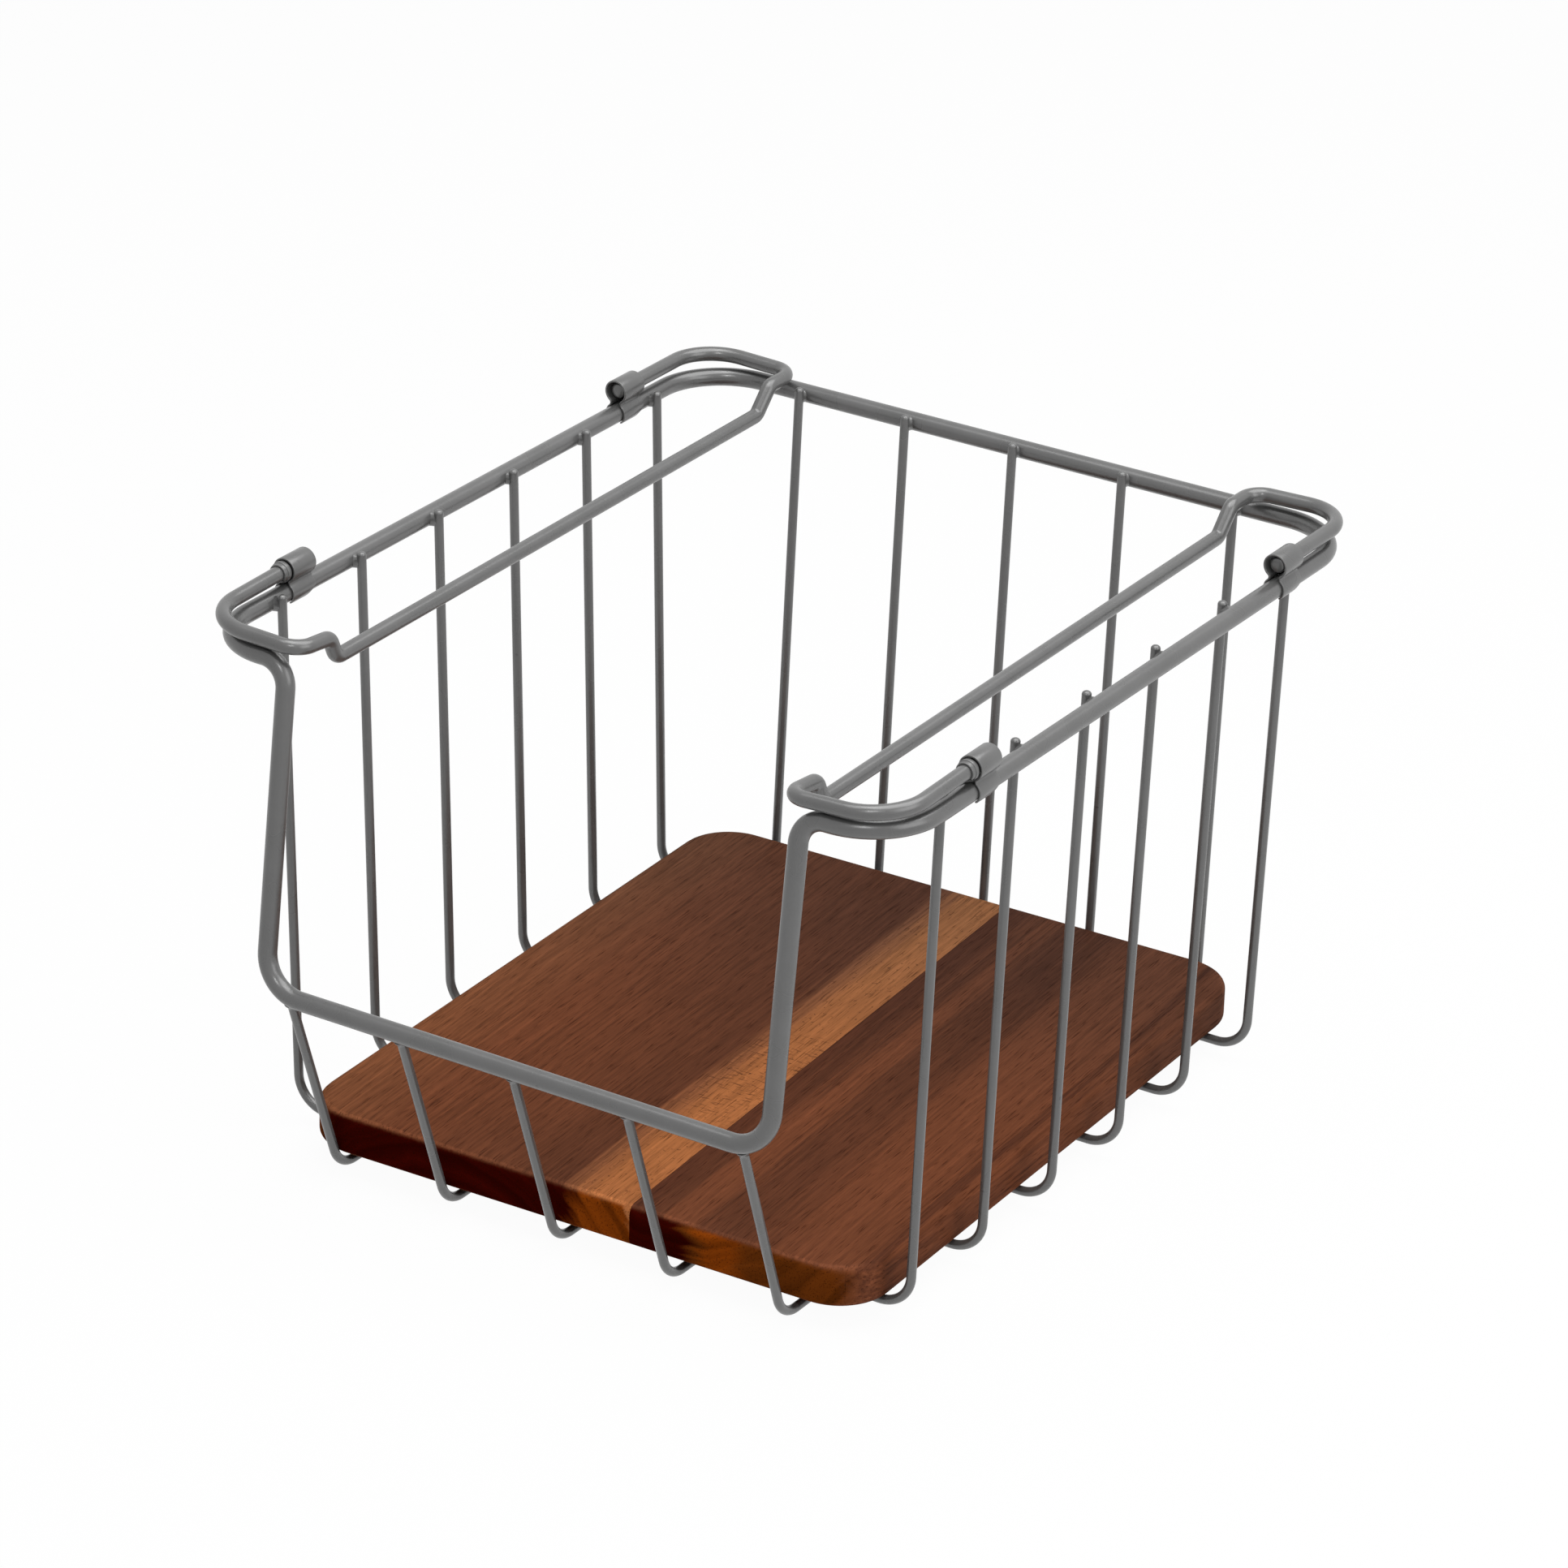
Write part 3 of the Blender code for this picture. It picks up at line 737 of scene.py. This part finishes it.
class BASKET_OT_long_wires(bpy.types.Operator):
    """Make the wires from the back rail, under the cross wires, up to the low front rail"""

    bl_idname = "basket.long_wires"
    bl_label = "Long wires"

    def execute(self, context):
        sizes = context.scene.basket_sizes
        here = places(sizes)
        slope = (here.weld_y - here.floor_back_y) / (sizes.rail_height - here.long_z)
        radius = sizes.thin_wire / 2
        for index, x in enumerate(here.long_x):
            floor_front = np.array([x, here.floor_front_y, here.long_z])
            lip = np.array([x, here.lip_y, sizes.lip_height + lip_rise(x, here)])
            end = lip - unit(lip - floor_front) * (sizes.rim_wire / 2 - 0.0006)
            top = (x, here.weld_y + slope * WIRE_END_RISE, sizes.rail_height + WIRE_END_RISE)
            corners = [top, (x, here.floor_back_y, here.long_z), floor_front, end]
            line = bent_path(corners, [0.0, FLOOR_BEND_RADIUS, FLOOR_BEND_RADIUS, 0.0])
            radii = np.full(len(line), radius)
            line, radii = rounded_end(line, radii, WIRE_DOME * radius)
            line, radii = flared_end(line[::-1], radii[::-1], 0.55, 0.0011)
            aims = np.tile([1.0, 0.0, 0.0], (len(line), 1))
            name = f"long_wire_{index + 1}"
            mesh = grid_mesh(name + "_coated", tube(line, radii, aims, THIN_SIDES))
            add_piece(name + "_coated", mesh, coat_of(context), "basket", [name])
        return {"FINISHED"}


def fillets(centres, wire, rail, out, start, end, height, seed):
    """Weld fillets, each a column of rings from inside a thin wire to inside the wire it meets.

    Ring h lies at centre + out h. It is an ellipse with half axes along the wire and along the
    rail that go from start to end with the square of h / height, times a small random size.
    """
    random = np.random.default_rng(seed)
    centres = np.asarray(centres, float)
    size = random.uniform(0.92, 1.10, (len(centres), 1, 1, 1))
    lean = random.uniform(-0.15, 0.15, (len(centres), 1, 1, 1))
    share = np.linspace(0, 1, 9)[None, :, None, None]
    angle = np.linspace(0, 2 * np.pi, 20, endpoint=False)[None, None, :, None]
    along = start[0] + (end[0] - start[0]) * share ** 2
    across = start[1] + (end[1] - start[1]) * share ** 2
    wire, rail, out = (np.broadcast_to(v, centres.shape)[:, None, None] for v in (wire, rail, out))
    ring = along * size * np.cos(angle) * wire + across * size * (np.sin(angle) + lean * share) * rail
    return centres[:, None, None] + out * (height * share) + ring


class BASKET_OT_weld_fillets(bpy.types.Operator):
    """Make the fillets where the thin wires are welded to the rails and to each other"""

    bl_idname = "basket.weld_fillets"
    bl_label = "Weld fillets"

    def execute(self, context):
        sizes = context.scene.basket_sizes
        here = places(sizes)
        x_axis, y_axis, z_axis = np.eye(3)
        coat = coat_of(context)
        top = sizes.rail_height
        rail_start, rail_end = (0.0019, 0.00135), (0.0024, 0.0031)
        height = here.weld_offset - 0.0004
        for side, name in ((1, "right"), (-1, "left")):
            middles = [(side * here.weld_x, y, top - 0.0002) for y in here.cross_y]
            grids = fillets(middles, z_axis, y_axis, side * x_axis, rail_start, rail_end, height, 5 + side)
            mesh = grid_mesh(f"{name}_rail_fillets", grids)
            add_piece(f"{name}_rail_fillets", mesh, coat, "basket")
        middles = [(x, here.weld_y, top - 0.0002) for x in here.long_x]
        grids = fillets(middles, z_axis, x_axis, y_axis, rail_start, rail_end, height, 8)
        add_piece("back_rail_fillets", grid_mesh("back_rail_fillets", grids), coat, "basket")
        x, y = (part.ravel() for part in np.meshgrid(here.long_x, here.cross_y))
        middles = np.stack([x, y, np.full(x.shape, here.long_z)], axis=1)
        rise = here.cross_z - here.long_z
        grids = fillets(middles, y_axis, x_axis, z_axis, (0.0020, 0.0013), (0.0013, 0.0021), rise, 9)
        add_piece("floor_fillets", grid_mesh("floor_fillets", grids), coat, "basket")
        return {"FINISHED"}


def bail_line(sizes, here):
    """Centre line of the right bail, swung inward, from its front end to its rear end."""
    hinge_z = here.hinge_z
    front_y = here.return_y - BAIL_FRONT_OFFSET
    rear_y = here.back_y - BAIL_REAR_INSET
    bar_x = here.rail_x - BAIL_REACH
    rest_x = here.leg_x + LEG_BEND_RADIUS
    rest_z = sizes.rail_height + sizes.rim_wire / 2 + BAIL_REST_GAP + sizes.bail_wire / 2
    front_outer_z = rest_z + BAIL_FRONT_ARM_FALL * (here.rail_x - rest_x) / BAIL_REACH
    front_inner_z = front_outer_z - BAIL_FRONT_ARM_FALL
    rear_inner_z = hinge_z - BAIL_REAR_ARM_FALL
    front_step = front_y + BAIL_FRONT_STUB
    rear_step = rear_y - BAIL_REAR_STUB
    front_mouth = here.front_clip_y - CLIP_LENGTH / 2
    rear_mouth = here.rear_clip_y + CLIP_LENGTH / 2
    bends = [
        ((here.rail_x, front_mouth + CLIP_LENGTH - BAIL_END_RECESS, hinge_z), 0.0),
        ((here.rail_x, front_mouth - COLLAR_SEAT - COLLAR_NOSE - 2 * WELD_GAP, hinge_z), 0.0),
        ((here.rail_x, front_y, front_outer_z), BAIL_FRONT_CORNER_RADIUS),
        ((bar_x, front_y, front_inner_z), BAIL_END_RADIUS),
        ((bar_x, front_step, front_inner_z - BAIL_FRONT_STUB_FALL), BAIL_STEP_RADIUS),
        ((bar_x, front_step + BAIL_FRONT_RAMP, hinge_z - BAR_FRONT_DROP), BAIL_STEP_RADIUS),
        ((bar_x, rear_step - BAIL_REAR_RAMP, hinge_z - BAR_REAR_DROP), BAIL_STEP_RADIUS),
        ((bar_x, rear_step, rear_inner_z), BAIL_STEP_RADIUS),
        ((bar_x, rear_y, rear_inner_z), BAIL_END_RADIUS),
        ((here.rail_x, rear_y, hinge_z), BAIL_REAR_CORNER_RADIUS),
        ((here.rail_x, rear_mouth, hinge_z), 0.0),
        ((here.rail_x, rear_mouth - CLIP_LENGTH + BAIL_END_RECESS, hinge_z), 0.0),
    ]
    corners, radii = zip(*bends)
    return bent_path(corners, radii, step=math.radians(5))


class BASKET_OT_bails(bpy.types.Operator):
    """Make the two bails, each one wire with a long bar stepped down to carry another basket"""

    bl_idname = "basket.bails"
    bl_label = "Bails"

    def execute(self, context):
        sizes = context.scene.basket_sizes
        line = divided(bail_line(sizes, places(sizes)), 0.006)
        radii = np.full(len(line), sizes.bail_wire / 2)
        line, radii = rounded_end(line, radii, 0.0005, steps=5)
        line, radii = rounded_end(line[::-1], radii[::-1], 0.0005, steps=5)
        aims = np.tile([0.0, 0.0, 1.0], (len(line), 1))
        for body, points in (("right_bail", line), ("left_bail", mirrored(line))):
            mesh = grid_mesh(body + "_coated", tube(points, radii, aims, BAIL_SIDES))
            add_piece(body + "_coated", mesh, coat_of(context), body, [body])
        return {"FINISHED"}


class BASKET_OT_collars(bpy.types.Operator):
    """Make the split, stepped stop collar just outside each front clip"""

    bl_idname = "basket.collars"
    bl_label = "Stop collars"

    def execute(self, context):
        """Carry the outline in radius and length round the wire, from one lip of the split to the other."""
        sizes = context.scene.basket_sizes
        here = places(sizes)
        bore = sizes.bail_wire / 2 + COLLAR_PLAY
        nose = bore + COLLAR_WALL
        seat = nose + COLLAR_STEP
        step, tip = -COLLAR_SEAT, -COLLAR_SEAT - COLLAR_NOSE
        corners = [(bore, 0.0), (seat, 0.0), (seat, step), (nose, step), (nose, tip), (bore, tip)]
        flat = np.array([(radius, along, 0.0) for radius, along in corners])
        rounding = [0.00010, 0.00028, 0.00022, 0.00012, 0.00026, 0.00010]
        outline = bent_path(flat, rounding, closed=True, step=0.5)
        angle = np.radians(np.linspace(*COLLAR_ARC, 64))[:, None]
        mouth = here.front_clip_y - CLIP_LENGTH / 2 - WELD_GAP
        for body, side in (("right_bail", 1), ("left_bail", -1)):
            x = side * here.rail_x + outline[None, :, 0] * np.cos(angle)
            y = mouth + outline[None, :, 1] + 0 * angle
            z = here.hinge_z + outline[None, :, 0] * np.sin(angle)
            name = body.replace("bail", "collar")
            mesh = grid_mesh(name + "_coated", np.stack([x, y, z], axis=-1))
            add_piece(name + "_coated", mesh, coat_of(context), body, [name], sharp=60)
        return {"FINISHED"}


def strap_line(sizes):
    """Middle line of a clip's strap in X and Z about the rail's middle, right tab to left tab.

    Two arcs about the rail and one about the bail are joined, then softened by a running mean.
    """
    wrap = sizes.rim_wire / 2 + STRAP_GAP + STRAP / 2
    barrel = sizes.bail_wire / 2 + BARREL_PLAY + STRAP / 2
    low = np.radians(np.linspace(*TAB_ARC, 60))
    high = np.radians(np.linspace(*BARREL_ARC, 150))
    tab = np.stack([wrap * np.cos(low), wrap * np.sin(low)], axis=1)
    around = np.stack([barrel * np.cos(high), sizes.hinge_rise + barrel * np.sin(high)], axis=1)
    other = tab[::-1] * np.array([-1.0, 1.0])
    line = divided(np.vstack([tab, around, other]), 0.00015)
    width = 9
    kernel = np.ones(width) / width
    ends = np.pad(line, ((width // 2, width // 2), (0, 0)), mode="reflect", reflect_type="odd")
    soft = np.stack([np.convolve(ends[:, axis], kernel, mode="valid") for axis in (0, 1)], axis=1)
    return soft[::2]


def strap_section(half_length, half_thickness, corner=0.00022):
    """Sections of a strap: for each row, a rectangle with round corners, as offsets.

    The first offset is across the sheet and the second along the basket. Corner points are the
    corner's middle plus its radius times (cos a, sin a).
    """
    quarter = np.linspace(0, np.pi / 2, 5)
    turns = np.concatenate([quarter + k * np.pi / 2 for k in range(4)])
    signs = np.repeat([(1, 1), (-1, 1), (-1, -1), (1, -1)], 5, axis=0)
    round_x = np.minimum(corner, half_thickness * 0.9)[:, None]
    across = signs[None, :, 0] * (half_thickness[:, None] - round_x) + round_x * np.cos(turns)
    length = signs[None, :, 1] * (half_length[:, None] - round_x) + round_x * np.sin(turns)
    return across, length


class BASKET_OT_strap_clips(bpy.types.Operator):
    """Make the four clips, each a strap bent round the rail and the bail"""

    bl_idname = "basket.strap_clips"
    bl_label = "Strap clips"

    def execute(self, context):
        sizes = context.scene.basket_sizes
        here = places(sizes)
        line = strap_line(sizes)
        flat = np.stack([line[:, 0], np.zeros(len(line)), line[:, 1]], axis=1)
        along = directions(flat)
        across_axis = np.cross(along, [0.0, 1.0, 0.0])
        below = np.clip(line[:, 1] / line[:, 1].min(), 0.0, None)
        front = CLIP_LENGTH * (TAB_FRONT_TAPER * below ** 3 - 0.5)
        rear = CLIP_LENGTH * (0.5 - TAB_REAR_TAPER * below)
        count = len(line)
        near_end = np.minimum(np.arange(count), np.arange(count)[::-1])
        half_thickness = STRAP / 2 * np.sqrt(np.clip(near_end / 2.0 + 0.3, 0, 1))
        offset, length = strap_section((rear - front) / 2, half_thickness)
        length = length + (rear + front)[:, None] / 2
        for side_name, side in (("left", -1), ("right", 1)):
            for end_name, y in (("front", here.front_clip_y), ("rear", here.rear_clip_y)):
                middle = np.array([side * here.rail_x, y, sizes.rail_height])
                grid = middle + flat[:, None] + across_axis[:, None] * offset[..., None]
                grid = grid + np.array([0.0, 1.0, 0.0]) * length[..., None]
                name = f"{side_name}_{end_name}_clip"
                mesh = grid_mesh(name + "_coated", grid)
                coat = coat_of(context)
                add_piece(name + "_coated", mesh, coat, "basket", [name], sharp=60)
        return {"FINISHED"}


def stave(stations, shear, plan):
    """A stave of the board: sections in Y and Z carried along X.

    The plan is a rectangle with corners of radius r. Inset by d, its front edge is at
    front + r - sqrt((r - d) squared - p squared), where p is how far x is past the corner's
    start. Near the top and bottom the inset is the edge rounding's, d at height
    e - sqrt(e squared - (e - d) squared). The share of ends in the surface's direction is kept
    for each point: (e - d) / e times the part along Y of the plan's direction.
    """
    half, front, back, low, high, corner, edge = plan
    past = np.maximum(0.0, np.abs(stations) - (half - corner))[:, None]
    most = np.minimum(edge, half - np.abs(stations))[:, None]
    turn = np.linspace(0, 1, 7)
    inset = most * (1 - np.sin(turn * np.pi / 2))
    rise = edge - np.sqrt(np.maximum(0.0, edge ** 2 - (edge - inset) ** 2))
    round_by = np.sqrt(np.maximum(0.0, (corner - inset) ** 2 - past ** 2))
    in_y = np.where(past > 0, corner - round_by, inset)
    facing = (edge - inset) / edge * np.where(past > 0, round_by / (corner - inset), 1.0)
    flat = np.linspace(0, 1, FLAT_POINTS)[None, 1:-1]
    top_front, top_back = front + in_y[:, :1], back - in_y[:, :1]
    across = top_front + (top_back - top_front) * flat
    none = np.zeros(across.shape)
    top = high - rise[:, :1] + none
    bottom = low + rise[:, :1] + none
    near, far, foot, head = front + in_y, back - in_y, low + rise, high - rise
    y = np.hstack([near, near[:, ::-1], across, far, far[:, ::-1], across[:, ::-1]])
    z = np.hstack([foot, head[:, ::-1], top, head, foot[:, ::-1], bottom])
    ends = np.hstack([facing, facing[:, ::-1], none, facing, facing[:, ::-1], none])
    x = stations[:, None] + shear[:, None] * (y - (front + back) / 2)
    return np.stack([x, y, z], axis=-1), ends


class BASKET_OT_board(bpy.types.Operator):
    """Make the board's three glued staves"""

    bl_idname = "basket.board"
    bl_label = "Board"

    def execute(self, context):
        """Work out each stave square to the basket, then turn and shift it as the board lies."""
        half, corner = BOARD_HALF, BOARD_CORNER
        plan = (half, BOARD_FRONT, BOARD_BACK, BOARD_LOW.z, BOARD_HIGH.z, corner, BOARD_EDGE)
        start = half - corner
        bend = start + corner * np.sin(np.radians(np.arange(0, 91, 3.0)))
        seam, joint = GLUE_LINE / 2, GLUE_LINE_X
        edge_x = half - EDGE_STAVE
        before = bend[(bend > start) & (bend < edge_x - 0.0004)]
        left = np.concatenate([-bend[::-1], np.linspace(-start, joint - seam, 12)[1:]])
        right = np.concatenate([np.linspace(joint + seam, start, 9), before, [edge_x - seam]])
        rest = np.concatenate([[edge_x + seam], bend[bend > edge_x + 0.0004]])
        slant = math.tan(GLUE_SKEW)
        pale = wood("oiled wood with sapwood", LEFT_BANDS, LEFT_END_BANDS, 0.40, 0.05, (-0.045, -0.030))
        dark = wood("oiled dark wood", RIGHT_BANDS, RIGHT_END_BANDS, 0.40, 0.10, (0.030, 0.060))
        staves = (
            ("board_left_stave", left, -slant * (left + start) / (joint + start), pale, "light_wood"),
            ("board_right_stave", right, -slant * (start - right) / (start - joint), dark, "dark_wood"),
            ("board_edge_stave", rest, 0 * rest, dark, "dark_wood"),
        )
        turn = np.array([
            [math.cos(BOARD_TURN), math.sin(BOARD_TURN), 0.0],
            [-math.sin(BOARD_TURN), math.cos(BOARD_TURN), 0.0],
            [0.0, 0.0, 1.0],
        ])
        for name, stations, shear, finish, slot in staves:
            grid, ends = stave(stations, np.clip(shear, -slant, 0.0), plan)
            mesh = grid_mesh(name + "_oiled", grid @ turn + np.array([BOARD_SHIFT, 0.0, 0.0]))
            values = np.concatenate([ends.ravel(), np.zeros(2)])
            mesh.attributes.new("end_grain", "FLOAT", "POINT").data.foreach_set("value", values)
            add_piece(name + "_oiled", mesh, finish, "board", [name], sharp=40)
        return {"FINISHED"}


class BASKET_OT_studio(bpy.types.Operator):
    """Make the pale floor, the soft lights, the room light and the camera"""

    bl_idname = "basket.studio"
    bl_label = "Studio"

    def execute(self, context):
        studio = context.scene.basket_studio
        scene = context.scene
        floor_mesh = bpy.data.meshes.new("studio_floor")
        turns = ((-1, -1), (1, -1), (1, 1), (-1, 1))
        corners = [(x * FLOOR_REACH, y * FLOOR_REACH, -FLOOR_DROP) for x, y in turns]
        floor_mesh.from_pydata(corners, [], [(0, 1, 2, 3)])
        floor = bpy.data.objects.new("studio_floor", floor_mesh)
        scene.collection.objects.link(floor)
        floor_mesh.materials.append(self.floor_finish(tuple(studio.floor)))
        floor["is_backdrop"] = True
        self.light("key_light", (0.30, 0.30, 1.45), 1.3, studio.key_power)
        self.light("top_light", (-0.25, -0.15, 1.40), 0.7, studio.top_power)
        self.light("side_light", (1.40, -0.10, 0.75), 1.0, studio.side_power)
        self.light("front_light", (0.52, -1.11, 1.19), 0.3, studio.front_power)
        self.room_light(scene, studio.sky)
        self.camera(scene)
        scene.view_settings.view_transform = "Standard"
        return {"FINISHED"}

    @staticmethod
    def floor_finish(colour):
        """Pale floor that keeps a faint shadow: part plain colour and part even white."""
        finish = Finish("studio floor")
        finish.set_shader(Base_Color=(*colour, 1.0), Roughness=0.9)
        white = {"Color": (1.0, 1.0, 1.0, 1.0), "Strength": 1.0}
        glow = finish.node("ShaderNodeEmission", None, white, output="Emission")
        plain = Field(finish, finish.shader.outputs["BSDF"])
        share = finish.seen() * FLOOR_WHITE
        mixed = finish.node("ShaderNodeMixShader", None, {0: share, 1: plain, 2: glow})
        finish.feed(finish.tree.nodes["Material Output"].inputs["Surface"], mixed)
        return finish.material

    @staticmethod
    def light(name, place, size, power):
        """Large square light that faces the basket's middle."""
        lamp = bpy.data.lights.new(name, "AREA")
        lamp.size = size
        lamp.energy = power
        item = bpy.data.objects.new(name, lamp)
        bpy.context.scene.collection.objects.link(item)
        aim = unit(np.array(place) - np.array([0.0, 0.0, 0.08]))
        side = unit(np.cross([0.0, 0.0, 1.0], aim))
        turn = Matrix(np.stack([side, np.cross(aim, side), aim], axis=1).tolist())
        item.matrix_world = Matrix.Translation(place) @ turn.to_4x4()

    @staticmethod
    def room_light(scene, strength):
        """Even light from all round, with a white background where it is seen."""
        world = bpy.data.worlds.new("studio room")
        scene.world = world
        world.use_nodes = True
        room = Nodes(world.node_tree)
        back = room.tree.nodes["Background"]
        back.inputs["Color"].default_value = (1.0, 1.0, 1.0, 1.0)
        room.feed(back.inputs["Strength"], room.seen() * (1.0 - strength) + strength)

    @staticmethod
    def camera(scene):
        """Camera at the photograph's angle: turned 32.2 degrees, 25.2 up and 1.4 round its axis."""
        turn, up, roll = CAMERA_TURN, CAMERA_RISE, CAMERA_ROLL
        right = np.array([math.cos(turn), math.sin(turn), 0.0])
        back = np.array([math.sin(turn) * math.cos(up), -math.cos(turn) * math.cos(up), math.sin(up)])
        above = np.cross(back, right)
        side = right * math.cos(roll) + above * math.sin(roll)
        head = above * math.cos(roll) - right * math.sin(roll)
        data = bpy.data.cameras.new("camera")
        data.sensor_width = 36.0
        data.lens = CAMERA_LENS
        data.clip_start, data.clip_end = 0.05, 20.0
        item = bpy.data.objects.new("camera", data)
        scene.collection.objects.link(item)
        pose = Matrix(np.stack([side, head, back], axis=1).tolist()).to_4x4()
        item.matrix_world = Matrix.Translation(CAMERA_TARGET + back * CAMERA_DISTANCE) @ pose
        scene.camera = item


class BASKET_PT_panel(bpy.types.Panel):
    """Lists the basket's pieces, sizes and colours"""

    bl_idname = "BASKET_PT_panel"
    bl_label = "Wire Basket"
    bl_space_type = "VIEW_3D"
    bl_region_type = "UI"
    bl_category = "Basket"

    def draw(self, context):
        for operator in PIECE_OPERATORS:
            self.layout.operator(operator.bl_idname)
        scene = context.scene
        for group in (scene.basket_sizes, scene.basket_colours, scene.basket_studio):
            box = self.layout.box()
            for name in group.bl_rna.properties.keys():
                if name not in ("rna_type", "name"):
                    box.prop(group, name)


PIECE_OPERATORS = (
    BASKET_OT_rim_frame,
    BASKET_OT_cross_wires,
    BASKET_OT_long_wires,
    BASKET_OT_weld_fillets,
    BASKET_OT_bails,
    BASKET_OT_collars,
    BASKET_OT_strap_clips,
    BASKET_OT_board,
    BASKET_OT_studio,
)
CLASSES = (BasketSizes, BasketColours, StudioSettings) + PIECE_OPERATORS + (BASKET_PT_panel,)


def register():
    """Register the classes and their settings on the scene."""
    for item in CLASSES:
        bpy.utils.register_class(item)
    bpy.types.Scene.basket_sizes = PointerProperty(type=BasketSizes)
    bpy.types.Scene.basket_colours = PointerProperty(type=BasketColours)
    bpy.types.Scene.basket_studio = PointerProperty(type=StudioSettings)


def unregister():
    """Remove the settings and the classes."""
    del bpy.types.Scene.basket_studio
    del bpy.types.Scene.basket_colours
    del bpy.types.Scene.basket_sizes
    for item in reversed(CLASSES):
        bpy.utils.unregister_class(item)


def main():
    """Build every piece and the studio."""
    register()
    for operator in PIECE_OPERATORS:
        group, name = operator.bl_idname.split(".")
        getattr(getattr(bpy.ops, group), name)()
    boxes = {"cad": CAD_BOX, "visual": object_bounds()}
    boxes = {name: [list(corner) for corner in box] for name, box in boxes.items()}


if __name__ == "__main__":
    main()
